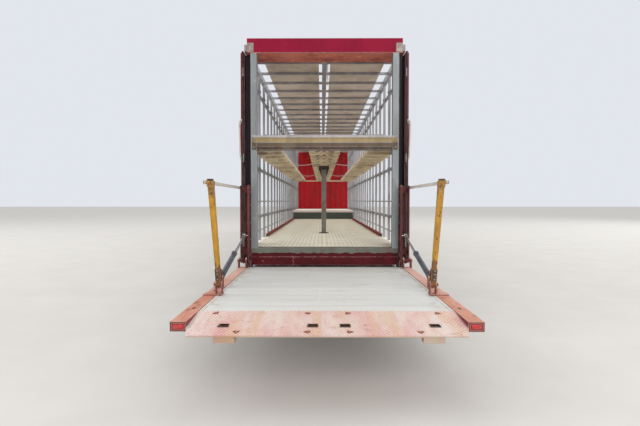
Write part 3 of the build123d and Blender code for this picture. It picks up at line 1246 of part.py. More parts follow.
# Columns: distance from the front axle, height
LINER = ((STEP_ARCH, 640), (610, 900), (460, 1080))
FRONT_FLAP_T = 20
FRONT_FLAP_BOTTOM = 400
flap_top_y = STEER_Y - STEP_ARCH
with BuildPart() as tractor_mudguards:
    for x_low in (GUARD_IN, -GUARD_OUT):
        with BuildSketch(flank(x_low)):
            with BuildLine():
                CenterArc((DRIVE_Y, TYRE_R), GUARD_R, 90 - GUARD_ARC, 2 * GUARD_ARC)
                CenterArc((DRIVE_Y, TYRE_R), GUARD_R + GUARD_T, 90 - GUARD_ARC, 2 * GUARD_ARC)
                for a in (90 - GUARD_ARC, 90 + GUARD_ARC):
                    ca, sa = math.cos(math.radians(a)), math.sin(math.radians(a))
                    Line((DRIVE_Y + GUARD_R * ca, TYRE_R + GUARD_R * sa),
                         (DRIVE_Y + (GUARD_R + GUARD_T) * ca, TYRE_R + (GUARD_R + GUARD_T) * sa))
            make_face()
        extrude(amount=GUARD_OUT - GUARD_IN)
    stay_z = RAIL_BOTTOM + STAY_RISE
    stay_y = math.sqrt((GUARD_R + GUARD_T + STAY_R - STAY_SINK) ** 2 - (stay_z - TYRE_R) ** 2)
    for s in (-1, 1):
        cross_rod((RAIL_OUT, GUARD_OUT - STAY_INSET), DRIVE_Y + s * stay_y, stay_z, STAY_R)
    for x_low in (LINER_IN, -CAB_HALF):
        with BuildSketch(flank(x_low)):
            with BuildLine():
                Polyline(*[(STEER_Y + u, z) for u, z in LINER], *[(STEER_Y - u, z) for u, z in reversed(LINER)],
                         *[(STEER_Y - u + GUARD_T, z - GUARD_T) for u, z in LINER],
                         *[(STEER_Y + u - GUARD_T, z - GUARD_T) for u, z in reversed(LINER)], close=True)
            make_face()
        extrude(amount=CAB_HALF - LINER_IN)
    pair((LINER_IN, CAB_HALF), (flap_top_y - FRONT_FLAP_T, flap_top_y), (FRONT_FLAP_BOTTOM, CAB_UNDER))
tractor_mudguards.part.label = "tractor_mudguards"
export_step(tractor_mudguards.part, "parts/tractor_mudguards.step")

# Tractor axles: forged front beam on leaf springs, banjo drive axle on its springs
EYE_TALL = 120
AXLE_EYE_R = 55
KING_R = 25
BEAM_FORGE = 110
SPRING_X = (RAIL_IN + 10, RAIL_OUT - 5)
SPRING_T = 40
BANJO_R = DRIVE_BULGE
BANJO_HALF = 190
DRIVE_TUBE_R = 80
DRIVE_HUB_IN = 260
DRIVE_HUB_OUT = 250
FORGE_HIGH = 50
FORGE_DROP = 170
FORGE_TOP = 60
FORGE_KNEE = (150, 320)
FORGE_SKEW = 20
LEAF_HALF = 700
SHACKLE_AT = 670
SHACKLE_HALF = 30
SADDLE_HALF = 60
drive_spindle_end = TWIN_X + DRIVE_HUB_OUT
forge_top = [
    (-STEER_AXIS_X, TYRE_R + FORGE_HIGH),
    (-STEER_AXIS_X + FORGE_KNEE[0], TYRE_R + FORGE_HIGH),
    (-STEER_AXIS_X + FORGE_KNEE[1], TYRE_R - FORGE_TOP),
]
forge_under = [
    (-STEER_AXIS_X + FORGE_KNEE[1] + FORGE_SKEW, TYRE_R - FORGE_DROP),
    (-STEER_AXIS_X + FORGE_KNEE[0] + FORGE_SKEW, TYRE_R - FORGE_HIGH),
    (-STEER_AXIS_X, TYRE_R - FORGE_HIGH),
]
with BuildPart() as tractor_axles:
    with BuildSketch(section(STEER_Y - BEAM_FORGE / 2)):
        with BuildLine():
            Polyline(*forge_top, *[(-x, z) for x, z in reversed(forge_top)],
                     *[(-x, z) for x, z in reversed(forge_under)], *forge_under, close=True)
        make_face()
    extrude(amount=-BEAM_FORGE)
    with Locations((STEER_AXIS_X, STEER_Y, TYRE_R), (-STEER_AXIS_X, STEER_Y, TYRE_R)):
        Cylinder(AXLE_EYE_R, EYE_TALL)
    with Locations((STEER_AXIS_X, STEER_Y, TYRE_R), (-STEER_AXIS_X, STEER_Y, TYRE_R)):
        Cylinder(KING_R + RUN_CLEAR, EYE_TALL + 2, mode=Mode.SUBTRACT)
    spring_z = TYRE_R - FORGE_TOP
    pair(SPRING_X, (STEER_Y - LEAF_HALF, STEER_Y + LEAF_HALF), (spring_z, spring_z + SPRING_T))
    for s in (-1, 1):
        y0 = STEER_Y + s * SHACKLE_AT
        pair(SPRING_X, (y0 - SHACKLE_HALF, y0 + SHACKLE_HALF), (spring_z, RAIL_BOTTOM))
    tube_end = TWIN_X - DRIVE_HUB_IN - SLIDE_CLEAR
    with BuildSketch(section(DRIVE_Y)):
        with BuildLine():
            Polyline(
                (BANJO_HALF, TYRE_R + DRIVE_TUBE_R),
                (tube_end, TYRE_R + DRIVE_TUBE_R),
                (tube_end, TYRE_R + SPINDLE_R),
                (drive_spindle_end, TYRE_R + SPINDLE_R),
                (drive_spindle_end, TYRE_R),
                (-drive_spindle_end, TYRE_R),
                (-drive_spindle_end, TYRE_R + SPINDLE_R),
                (-tube_end, TYRE_R + SPINDLE_R),
                (-tube_end, TYRE_R + DRIVE_TUBE_R),
                (-BANJO_HALF, TYRE_R + DRIVE_TUBE_R),
            )
            ThreePointArc((-BANJO_HALF, TYRE_R + DRIVE_TUBE_R), (0, TYRE_R + BANJO_R),
                          (BANJO_HALF, TYRE_R + DRIVE_TUBE_R))
        make_face()
    revolve(axis=Axis((0, DRIVE_Y, TYRE_R), (1, 0, 0)))
    spring_high = RAIL_BOTTOM - SPRING_T
    pair(SPRING_X, (DRIVE_Y - LEAF_HALF, DRIVE_Y + LEAF_HALF), (spring_high, RAIL_BOTTOM))
    pair(SPRING_X, (DRIVE_Y - SADDLE_HALF, DRIVE_Y + SADDLE_HALF), (TYRE_R, spring_high))
tractor_axles.part.label = "tractor_axles"
export_step(tractor_axles.part, "parts/tractor_axles.step")

# Steering knuckles: yoke over the axle eye, kingpin, and the spindle of the wheel
YOKE_T = 30
CARRIER_X = 965
STEER_HUB_IN = 90
for side, name in ((-1, "left"), (1, "right")):
    with BuildPart() as knuckle:
        yoke_z = EYE_TALL / 2 + GAP
        for s in (-1, 1):
            z, dz = span(s * yoke_z, s * (yoke_z + YOKE_T))
            with Locations((side * STEER_AXIS_X, STEER_Y, TYRE_R + z)):
                Cylinder(AXLE_EYE_R, abs(dz))
            x, dx = span(STEER_AXIS_X, CARRIER_X + YOKE_T)
            with Locations((side * x, STEER_Y, TYRE_R + z)):
                Box(dx, 2 * AXLE_EYE_R, abs(dz))
        x, dx = span(CARRIER_X, CARRIER_X + YOKE_T)
        with Locations((side * x, STEER_Y, TYRE_R)):
            Box(dx, 2 * AXLE_EYE_R, 2 * (yoke_z + YOKE_T))
        with Locations((side * STEER_AXIS_X, STEER_Y, TYRE_R)):
            Cylinder(KING_R, 2 * (yoke_z + YOKE_T))
        x, dx = span(CARRIER_X, STEER_WHEEL_X + HUB_END - CAP_T - SLIDE_CLEAR)
        with Locations((side * x, STEER_Y, TYRE_R)):
            Cylinder(SPINDLE_R, dx, rotation=(0, 90, 0))
    knuckle.part.label = "knuckle_" + name
    export_step(knuckle.part, "parts/knuckle_" + name + ".step")

# Wheels: every tyre and rim is turned about its axle
HUB_R = 110
DISC_T = 20
RIM_WALL = 20
SEAT_SHARE = 0.42
HAND_HOLES = 8
HAND_SHARE = 0.3
# Columns: name, axle y, axle height, middle x, tyre width, rim radius, hub inner offset, twin spacing
WHEELS = (
    ("front", STEER_Y, TYRE_R, STEER_WHEEL_X, TYRE_W, 286, STEER_HUB_IN, 0),
    ("drive", DRIVE_Y, TYRE_R, TWIN_X, TYRE_W, 286, DRIVE_HUB_IN, TWIN_SPACING),
    ("trailer_front", AXLE_YS[1], TRAILER_WHEEL_R, TRAILER_WHEEL_X, TRAILER_TYRE_W, 222, TRAILER_HUB_IN, 0),
    ("trailer_rear", AXLE_YS[0], TRAILER_WHEEL_R, TRAILER_WHEEL_X, TRAILER_TYRE_W, 222, TRAILER_HUB_IN, 0),
)


def tyre_outline(middle, width, radius, rim_r):
    """Points of one tyre's section: offset along the axle, distance from the axle"""
    bead = SEAT_SHARE * width
    wall_low = rim_r + 0.35 * (radius - rim_r)
    wall_high = rim_r + 0.75 * (radius - rim_r)
    half = [(bead, rim_r), (width / 2, wall_low), (width / 2, wall_high), (0.42 * width, radius)]
    return [(middle + u, r) for u, r in half] + [(middle - u, r) for u, r in reversed(half)]


def rim_outline(width, rim_r, hub_in, spacing):
    """Points of the rim's section, outwards positive, with a blind hub bore for the spindle"""
    seat = spacing / 2 + SEAT_SHARE * width
    well = rim_r - RIM_WALL
    bore = SPINDLE_R + RUN_CLEAR
    hub_out = drive_spindle_end - TWIN_X + CAP_T + SLIDE_CLEAR if spacing else HUB_END
    disc = 0 if spacing else HUB_END - 2 * DISC_T
    inner = [(-hub_in, bore), (-hub_in, HUB_R), (disc - DISC_T, HUB_R), (disc - DISC_T, well)]
    rim = [(-seat, well), (-seat, rim_r), (seat, rim_r), (seat, well)]
    if spacing:
        gap = spacing / 2 - SEAT_SHARE * width
        rim = rim[:2] + [(-gap, rim_r), (-gap, well), (gap, well), (gap, rim_r)] + rim[2:]
        inner[3] = (disc - DISC_T, well - RIM_WALL)
        rim = [(-seat, well - RIM_WALL)] + rim[1:-1] + [(seat, well - RIM_WALL)]
    outer = [(disc, well - RIM_WALL if spacing else well), (disc, HUB_R), (hub_out, HUB_R), (hub_out, 0),
             (hub_out - CAP_T, 0), (hub_out - CAP_T, bore)]
    return inner + rim + outer


for axle, y, radius, middle, width, rim_r, hub_in, spacing in WHEELS:
    for side, hand in ((-1, "left"), (1, "right")):
        turn = Axis((0, y, radius), (1, 0, 0))
        plane = Plane(origin=(0, y, radius), x_dir=(1, 0, 0), z_dir=(0, -1, 0))
        tyre_mids = (middle - spacing / 2, middle + spacing / 2) if spacing else (middle,)
        with BuildPart() as tyre:
            for mid in tyre_mids:
                with BuildSketch(plane):
                    with BuildLine():
                        points = tyre_outline(mid, width, radius, rim_r)
                        Polyline(*[(side * u, r) for u, r in points], close=True)
                    make_face()
                revolve(axis=turn)
        tyre.part.label = f"tyre_{axle}_{hand}"
        export_step(tyre.part, f"parts/tyre_{axle}_{hand}.step")
        with BuildPart() as rim:
            with BuildSketch(plane):
                with BuildLine():
                    points = rim_outline(width, rim_r, hub_in, spacing)
                    Polyline(*[(side * (middle + u), r) for u, r in points], close=True)
                make_face()
            revolve(axis=turn)
            disc_out = 0 if spacing else HUB_END - 2 * DISC_T
            disc_rim = rim_r - (2 if spacing else 1) * RIM_WALL
            with Locations(Location((side * (middle + disc_out - DISC_T / 2), y, radius), (0, 90, 0))):
                with PolarLocations((HUB_R + disc_rim) / 2, HAND_HOLES):
                    Cylinder(HAND_SHARE * (disc_rim - HUB_R), 2 * DISC_T, mode=Mode.SUBTRACT)
        rim.part.label = f"rim_{axle}_{hand}"
        export_step(rim.part, f"parts/rim_{axle}_{hand}.step")
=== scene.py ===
import json
import math

import bmesh
import bpy
from mathutils import Matrix, Vector


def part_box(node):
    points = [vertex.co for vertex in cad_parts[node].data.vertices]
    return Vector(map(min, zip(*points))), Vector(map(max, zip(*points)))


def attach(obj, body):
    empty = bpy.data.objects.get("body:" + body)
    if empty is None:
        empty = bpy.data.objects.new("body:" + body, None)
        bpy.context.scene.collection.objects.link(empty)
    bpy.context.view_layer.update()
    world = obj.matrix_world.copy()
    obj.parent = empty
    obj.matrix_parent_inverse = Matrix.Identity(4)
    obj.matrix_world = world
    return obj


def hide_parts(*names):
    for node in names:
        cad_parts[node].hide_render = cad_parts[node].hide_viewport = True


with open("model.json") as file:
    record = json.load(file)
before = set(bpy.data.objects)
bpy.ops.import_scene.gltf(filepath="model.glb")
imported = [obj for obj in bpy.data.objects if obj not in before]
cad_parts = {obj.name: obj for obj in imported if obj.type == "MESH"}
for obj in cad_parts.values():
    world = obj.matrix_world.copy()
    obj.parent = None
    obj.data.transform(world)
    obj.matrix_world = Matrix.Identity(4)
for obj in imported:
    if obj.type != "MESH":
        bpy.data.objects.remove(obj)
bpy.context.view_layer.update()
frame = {"nodes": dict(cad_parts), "record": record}
scene = bpy.context.scene

# Lengths are in metres, +Y is forward and the road is at z = 0
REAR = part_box("rear_frame")[0].y
TRAILER_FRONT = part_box("front_wall")[1].y
STEP = TRAILER_FRONT - 3.5      # where the low floor ends
FLOOR_TOP = 0.934
CENTRE_POST_Y = REAR + 2.95
MID_TRACK_TOP = 2.46
PLATE_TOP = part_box("platform_deck")[1].z
PLATE_END = REAR - 2.54         # where the lip begins
HINGE_Y = REAR - 0.085
HINGE_Z = 0.76
GATE_Y = HINGE_Y - 1.8
GATE_HEIGHT = 1.06
HEAD_Z = HINGE_Z + GATE_HEIGHT
CYLINDER_FOOT = Vector((1.175, HINGE_Y - 1.46, HINGE_Z))
CYLINDER_HEAD = Vector((1.175, HINGE_Y, HINGE_Z + 0.36))
SIDES = ((-1, "left"), (1, "right"))
STRAIGHT = (0, 0, 0)


# Shader helpers. A colour in a finish is a socket, or three values as seen on a screen, 0 to 255
def srgb(red, green, blue):
    """A screen colour turned into the linear values that shaders use"""
    linear = [v / 12.92 if v <= 0.04045 else ((v + 0.055) / 1.055) ** 2.4
              for v in (red / 255, green / 255, blue / 255)]
    return (*linear, 1.0)


def fill(tree, node, inputs):
    """Links an input of a node to a socket, or gives it a value"""
    for key, value in inputs.items():
        if isinstance(value, bpy.types.NodeSocket):
            tree.links.new(value, node.inputs[key])
        else:
            node.inputs[key].default_value = value


def put(tree, kind, inputs=None, **settings):
    """Adds a node, sets its settings and fills its inputs"""
    made = tree.nodes.new(kind)
    for key, value in settings.items():
        setattr(made, key, value)
    fill(tree, made, inputs or {})
    return made


class Look:
    """A finish under construction: its nodes, its shader and the colour so far"""

    def __init__(self, name):
        self.material = bpy.data.materials.new(name)
        self.material.use_nodes = True
        self.tree = self.material.node_tree
        self.tree.nodes.clear()
        self.colour = None
        self.shader = self.put("BsdfPrincipled")
        self.put("OutputMaterial", {"Surface": self.shader.outputs[0]})

    def put(self, kind, inputs=None, **settings):
        """Adds a shader node"""
        return put(self.tree, "ShaderNode" + kind, inputs, **settings)

    def place(self, stretch=(1, 1, 1), turn=(0, 0, 0)):
        """Object coordinates, stretched and turned"""
        at = self.put("TexCoord").outputs["Object"]
        return self.put("Mapping", {"Vector": at, "Scale": stretch, "Rotation": turn}).outputs["Vector"]

    def noise(self, scale, detail=4, rough=0.6, stretch=(1, 1, 1), turn=(0, 0, 0)):
        """Cloudy values around 0.5"""
        return self.put("TexNoise", {"Vector": self.place(stretch, turn), "Scale": scale, "Detail": detail,
                                     "Roughness": rough}).outputs["Fac"]

    def waves(self, axis, scale, distortion):
        """Even stripes across one axis"""
        return self.put("TexWave", {"Vector": self.place(), "Scale": scale, "Distortion": distortion},
                        bands_direction=axis).outputs["Fac"]

    def step(self, value, low, high, to_low=0.0, to_high=1.0):
        """Value between low and high mapped onto the new range and held there"""
        return self.put("MapRange", {"Value": value, "From Min": low, "From Max": high, "To Min": to_low,
                                     "To Max": to_high}).outputs["Result"]

    def patches(self, low, high, *noise):
        """Soft-edged patches: 0 where the noise is under low, 1 where it is over high"""
        return self.step(self.noise(*noise), low, high)

    def calc(self, how, a, b=0.0):
        """Sum, product or comparison of two values"""
        return self.put("Math", {0: a, 1: b}, operation=how).outputs[0]

    def axis(self, name, kind="Object"):
        """One of the object coordinates, or one part of the face direction"""
        source = self.put("TexCoord" if kind == "Object" else "NewGeometry").outputs[kind]
        return self.put("SeparateXYZ", {"Vector": source}).outputs[name]

    def between(self, value, low, high):
        """1 where the value lies between two limits"""
        return self.calc("MULTIPLY", self.calc("GREATER_THAN", value, low), self.calc("LESS_THAN", value, high))

    def edges(self, radius):
        """1 on the sharp edges of a piece, 0 on its faces"""
        soft = self.put("Bevel", {"Radius": radius}, samples=3).outputs["Normal"]
        flat = self.put("NewGeometry").outputs["Normal"]
        same = self.put("VectorMath", {0: soft, 1: flat}, operation="DOT_PRODUCT").outputs["Value"]
        return self.step(same, 0.985, 0.9)

    def mix(self, share, a, b):
        """Blend of two colours"""
        a, b = (srgb(*c) if isinstance(c, tuple) else c for c in (a, b))
        return self.put("Mix", {0: share, 6: a, 7: b}, data_type="RGBA").outputs[2]

    def tint(self, mask, paint, amount=1.0):
        """Paints over the colour so far, where the mask says"""
        if amount < 1:
            mask = self.calc("MULTIPLY", mask, amount)
        self.colour = self.mix(mask, self.colour, paint)

    def done(self, rough, height=None, depth=0.0, **others):
        """Fills the shader's inputs; in the names of the others, _ stands for a space"""
        fill(self.tree, self.shader, {"Base Color": self.colour, "Roughness": rough})
        fill(self.tree, self.shader, {key.replace("_", " "): value for key, value in others.items()})
        if height:
            bump = self.put("Bump", {"Height": height, "Distance": depth, "Strength": 1.0})
            fill(self.tree, self.shader, {"Normal": bump.outputs["Normal"]})
        return self.material


# Masks for the parts of one piece that look different. Each is called with the look that it is for
def facing_down(look):
    """Mask of the undersides"""
    return look.calc("LESS_THAN", look.axis("Z", "Normal"), -0.5)


def facing_back(look):
    """Mask of the faces that look backwards"""
    return look.calc("LESS_THAN", look.axis("Y", "Normal"), -0.5)


def band(axis, low, high):
    """Mask of what lies between two values of one coordinate"""
    return lambda look: look.between(look.axis(axis), low, high)


def near_side(low, high):
    """Mask of what lies between two distances from the middle of the vehicle"""
    return lambda look: look.between(look.calc("ABSOLUTE", look.axis("X")), low, high)


def ragged(axis, low, high, drift=0.07):
    """Band whose limits wander, as worn paint does"""
    def mask(look):
        wander = look.calc("MULTIPLY", look.calc("SUBTRACT", look.noise(9.0, 5), 0.5), drift)
        return look.between(look.calc("ADD", look.axis(axis), wander), low, high)
    return mask


def both(first, second):
    """Mask of what lies in two masks"""
    return lambda look: look.calc("MULTIPLY", first(look), second(look))


def coat(name, base, shade, wear, grime, rough, metal, scale, worn, dirt, edge=0.006, stretch=(1, 1, 1), fine=60.0,
         depth=0.0006, gloss=0.0, shine=0.5, zones=()):
    """Paint or bare metal: blotches of two shades, wear at the edges and in patches, grime, and a fine skin.
    Zones paint parts of the piece in two other shades: each is a mask and its shades."""
    look = Look(name)
    big = look.noise(scale, 4, 0.6, stretch)
    small = look.noise(fine, 3)
    blotch = look.step(big, 0.3, 0.7)
    look.colour = look.mix(blotch, base, shade)
    for mask, bright, dull in zones:
        look.tint(mask(look), look.mix(blotch, bright, dull))
    patch = look.noise(scale * 6, 6, 0.7, stretch)
    if grime:
        look.tint(look.patches(dirt - 0.14, dirt + 0.1, scale * 1.7, 5, 0.6, stretch), grime, 0.75)
    roughness = look.step(big, 0.25, 0.75, rough - 0.07, rough + 0.09)
    chips = look.step(patch, worn, worn + 0.05)
    if edge:
        rubbed = look.calc("MULTIPLY", look.edges(edge), look.step(patch, 0.36, 0.56))
        chips = look.calc("MAXIMUM", chips, rubbed)
    look.tint(chips, wear)
    roughness = look.calc("ADD", roughness, look.calc("MULTIPLY", chips, 0.12))
    return look.done(roughness, look.calc("ADD", small, patch), depth, Metallic=metal, Specular_IOR_Level=shine,
                     Coat_Weight=gloss, Coat_Roughness=0.12)


# Finishes
RUST = (121, 74, 50)
DUST = (158, 146, 130)
GREASE = (34, 28, 28)
HALF_Z = (1, 1, 0.5)            # patches twice as tall as wide
THIRD_Z = (1, 1, 0.35)
# Zones: a mask, and the two shades that it is painted in
BEAM_ZONES = [
    (band("Z", 2.37, 2.42), (84, 62, 46), (62, 46, 36)),
    (band("Z", 2.42, 2.48), (110, 90, 70), (86, 70, 54)),
    (ragged("Z", 2.486, 2.565, 0.02), (176, 154, 116), (146, 126, 90)),
    (band("Z", 2.565, 2.6), (186, 188, 196), (160, 162, 168))]
POST_ZONES = [(both(near_side(0.0, 0.999), mask), bright, dull) for mask, bright, dull in BEAM_ZONES]
REAR_ZONES = [
    (both(facing_down, band("Z", 3.7, 3.85)), (236, 140, 100), (214, 118, 84)),
    (ragged("Z", 3.77, 3.793, 0.03), (206, 124, 104), (180, 96, 80)),
    (band("Z", 0.6, 0.87), (96, 21, 28), (66, 17, 22)),
    (ragged("Z", 0.858, 0.99), (124, 128, 120), (98, 100, 92))]
DECK_ZONES = [
    (band("Z", 0.9, 2.379), (138, 134, 130), (110, 104, 100)),
    (band("Z", 2.459, 2.5), (214, 190, 186), (188, 164, 158))]
GATE_ZONES = [
    (ragged("Z", 0.7, 0.98, 0.4), (142, 96, 50), (88, 58, 42)),
    (ragged("Z", 1.70, 1.95, 0.4), (176, 126, 50), (104, 70, 42))]

# Columns: name, base, shade, wear, grime, roughness, metal, size of the blotches (more is finer), how sound the
# paint is, how clean it is, and what differs from the usual coat
COATS = (
    ("chassis_steel", (70, 34, 38), (52, 28, 32), RUST, DUST, 0.6, 0.0, 2.0, 0.66, 0.6, {}),
    ("body_red", (146, 24, 32), (116, 18, 26), (196, 140, 134), (92, 44, 40),
     0.45, 0.0, 2.0, 0.7, 0.66, dict(stretch=HALF_Z, shine=0.25)),
    ("wall_red", (184, 24, 34), (156, 18, 28), (206, 140, 132), (104, 40, 36),
     0.5, 0.0, 2.0, 0.72, 0.68, dict(stretch=HALF_Z, shine=0.2)),
    ("rear_red", (154, 16, 54), (126, 12, 44), (210, 150, 150), (112, 34, 46), 0.6, 0.0, 2.0, 0.67, 0.66,
     dict(stretch=HALF_Z, shine=0.15, zones=REAR_ZONES)),
    ("galvanised", (170, 170, 174), (140, 138, 140), (196, 196, 198), (120, 106, 98),
     0.5, 0.3, 4.0, 0.66, 0.66, dict(stretch=(1, 1, 0.3))),
    ("posts_grey", (148, 153, 156), (120, 125, 128), (204, 206, 204), (116, 110, 100), 0.48, 0.3, 3.0, 0.66, 0.64,
     dict(stretch=(1, 1, 0.3), zones=POST_ZONES)),
    ("beam_ends", (150, 128, 100), (118, 98, 76), (206, 200, 188), (74, 50, 36),
     0.6, 0.0, 9.0, 0.66, 0.5, dict(zones=BEAM_ZONES)),
    ("column_dark", (28, 17, 24), (40, 18, 24), (140, 104, 98), GREASE,
     0.45, 0.0, 1.6, 0.66, 0.6, dict(stretch=THIRD_Z, shine=0.3)),
    ("leaf_paint", (150, 16, 42), (116, 12, 34), (180, 120, 120), (70, 26, 36), 0.5, 0.0, 1.4, 0.7, 0.6,
     dict(stretch=THIRD_Z, shine=0.2, zones=[(band("Z", 0.6, 2.2), (124, 46, 48), (94, 34, 38))])),
    ("carriage_red", (112, 44, 44), (78, 32, 34), (160, 122, 112), GREASE,
     0.5, 0.0, 3.0, 0.64, 0.56, dict(stretch=HALF_Z, shine=0.3)),
    ("ceiling_beige", (216, 206, 190), (190, 178, 160), (156, 134, 112), (150, 136, 118),
     0.7, 0.0, 1.2, 0.72, 0.6, dict(edge=0)),
    ("deck_brown", (224, 210, 182), (198, 184, 154), (238, 226, 204), RUST,
     0.58, 0.1, 2.4, 0.64, 0.64, dict(zones=DECK_ZONES)),
    ("gate_yellow", (208, 158, 34), (176, 128, 22), (92, 58, 40), (140, 92, 40),
     0.5, 0.0, 4.0, 0.575, 0.62, dict(stretch=HALF_Z, zones=GATE_ZONES)),
    ("rail_white", (214, 210, 204), (190, 184, 176), RUST, (150, 132, 118), 0.5, 0.0, 4.0, 0.66, 0.66, {}),
    # The barrels are painted a darker, bluer grey than their own mid grey: painted shade
    ("hydraulic_dark", (92, 96, 104), (66, 70, 80), (160, 156, 150), GREASE, 0.35, 0.3, 5.0, 0.62, 0.62, {}),
    ("rod_chrome", (205, 205, 208), (178, 176, 176), (140, 120, 100), None,
     0.18, 0.9, 9.0, 0.74, 0.6, dict(edge=0, depth=0.0002)),
    ("tyre", (44, 43, 42), (34, 33, 33), (70, 66, 61), (86, 80, 73),
     0.85, 0.0, 5.0, 0.7, 0.64, dict(edge=0.008, depth=0.001)),
    ("rim_silver", (176, 177, 180), (150, 150, 153), (120, 104, 92), (104, 94, 86), 0.38, 0.5, 6.0, 0.7, 0.6, {}),
    ("flap_rubber", (42, 41, 41), (32, 31, 31), (64, 60, 56), (92, 84, 74), 0.8, 0.0, 4.0, 0.62, 0.58, {}),
    ("cab_paint", (150, 24, 34), (134, 20, 30), (190, 124, 120), (104, 60, 54), 0.28, 0.0, 0.8, 0.82, 0.74,
     dict(fine=160.0, depth=0.0001, gloss=0.6)),
    ("trim_black", (50, 50, 52), (38, 38, 40), (84, 82, 80), (78, 72, 66),
     0.55, 0.0, 3.0, 0.74, 0.72, dict(fine=220.0)),
    ("bumper_paint", (146, 24, 33), (130, 20, 29), (108, 88, 80), (96, 62, 54), 0.34, 0.0, 1.2, 0.76, 0.66,
     dict(fine=160.0, depth=0.0001, gloss=0.4)),
    ("interior", (84, 82, 86), (66, 65, 69), (104, 102, 104), None, 0.8, 0.0, 3.0, 0.74, 0.6, dict(fine=300.0, edge=0)),
    ("cast_dark", (76, 70, 67), (58, 54, 53), RUST, DUST, 0.62, 0.2, 4.0, 0.64, 0.64, {}),
    ("tank_aluminium", (186, 187, 190), (160, 160, 163), (210, 210, 212), (128, 118, 106),
     0.32, 0.8, 3.0, 0.74, 0.72, {}),
    ("mudguard_plastic", (50, 49, 49), (40, 39, 39), (92, 88, 84), (104, 96, 86), 0.68, 0.0, 3.0, 0.62, 0.6, {}),
    ("gate_head", (188, 140, 56), (140, 98, 48), (214, 170, 70), (58, 42, 34), 0.55, 0.0, 12.0, 0.58, 0.54, {}),
    ("gate_foot", (112, 76, 52), (78, 54, 42), (190, 142, 62), (50, 38, 34), 0.6, 0.0, 12.0, 0.57, 0.55, {}),
    ("head_black", (48, 42, 42), (34, 30, 30), RUST, (92, 74, 60), 0.55, 0.0, 8.0, 0.6, 0.6, {}),
    ("bracket_worn", (180, 170, 164), (152, 134, 126), RUST, (112, 62, 58), 0.55, 0.1, 9.0, 0.56, 0.56, {}),
    ("bolt_zinc", (168, 166, 160), (138, 134, 128), RUST, (110, 96, 80), 0.42, 0.7, 20.0, 0.62, 0.6, dict(edge=0)),
    ("rust_stain", (186, 112, 72), (160, 90, 60), (214, 160, 132), (110, 62, 44),
     0.7, 0.0, 14.0, 0.6, 0.6, dict(edge=0)),
    # The ridges are darker than the boards: partly painted shade of the raised lines, partly their own worn tint
    ("grid_wear_and_shade", (212, 204, 172), (188, 177, 142), (238, 232, 212), (128, 114, 88),
     0.6, 0.0, 2.0, 0.66, 0.6, dict(edge=0, shine=0.15)))


def floor_finish():
    """Cream floor boards with worn tracks; grey-green riser, pale nosing, red kerbs"""
    look = Look("floor_cream")
    look.colour = look.mix(look.patches(0.3, 0.7, 3.0, 5, 0.6, (1, 0.35, 1)), (254, 253, 246), (246, 241, 226))
    stain = look.patches(0.6, 0.75, 2.2, 6, 0.7, (1, 0.6, 1))
    look.tint(stain, (170, 152, 122), 0.4)
    look.tint(look.patches(0.64, 0.74, 3.0, 6, 0.7, (9, 0.4, 1)), (98, 90, 84), 0.55)
    for mask, paint in ((both(near_side(1.085, 1.135), band("Z", 0.932, 1.0)), (126, 62, 56)),
                        (both(facing_back, band("Z", 0.931, 1.2)), (78, 84, 74)),
                        (both(band("Y", STEP - 0.01, STEP + 0.03), band("Z", 1.19, 1.3)), (216, 198, 194)),
                        (near_side(1.1985, 2.0), (128, 34, 42)),
                        (facing_down, (88, 78, 70))):
        look.tint(mask(look), paint)
    return look.done(look.step(stain, 0, 1, 0.86, 0.72), look.noise(45.0), 0.001, Specular_IOR_Level=0.15)


def planks_finish():
    """Pale aluminium planks across the platform, scratched lengthwise, with rust towards their ends"""
    look = Look("platform_grey")
    look.colour = look.mix(look.patches(0.3, 0.7, 2.0, 5, 0.6, (0.25, 3, 1)), (220, 220, 216), (202, 203, 201))
    look.tint(look.patches(0.62, 0.7, 2.0, 6, 0.75, (14, 0.5, 1)), (234, 232, 228), 0.45)
    grubby = look.patches(0.6, 0.74, 1.6, 6, 0.7, (1.2, 1.2, 1))
    look.tint(grubby, (158, 150, 144), 0.45)
    outer = look.step(look.calc("ABSOLUTE", look.axis("X")), 0.95, 1.13)
    look.tint(look.calc("MULTIPLY", outer, look.patches(0.5, 0.62, 7.0, 5)), (166, 118, 88), 0.5)
    return look.done(look.step(grubby, 0, 1, 0.46, 0.6), look.noise(6.0, 3, 0.6, (2, 30, 1)), 0.0005, Metallic=0.25)


def lip_field(look):
    """Wear of the lip and of its tread, which lies in one pattern over both"""
    return look.noise(2.4, 6, 0.65, (1.4, 0.5, 1))


def lip_finish():
    """Red paint worn towards pale steel, patch by patch, and rusty in places"""
    look = Look("lip_worn")
    field = lip_field(look)
    look.colour = look.mix(look.step(field, 0.38, 0.6), (204, 150, 146), (214, 196, 189))
    look.tint(look.patches(0.6, 0.7, 9.0, 6, 0.7), (176, 112, 84), 0.8)
    look.tint(look.patches(0.52, 0.62, 3.4, 4, 0.6, (1.6, 0.12, 1), (0, 0, 1)), (204, 162, 122), 0.5)
    look.tint(band("Z", 0.4, 0.585)(look), (172, 150, 120), 0.6)
    return look.done(look.step(field, 0.3, 0.7, 0.5, 0.38), look.noise(60.0), 0.0006, Metallic=0.1)


def tread_finish():
    """Crests of the tread, rubbed to pale steel with some pink left"""
    look = Look("tread_rubbed")
    field = lip_field(look)
    look.colour = look.mix(look.step(field, 0.38, 0.6), (230, 204, 196), (232, 220, 210))
    look.tint(look.patches(0.54, 0.62, 30.0, 5), (206, 150, 132), 0.6)
    return look.done(look.step(field, 0.3, 0.7, 0.5, 0.34), look.noise(60.0), 0.0006, Metallic=0.15)


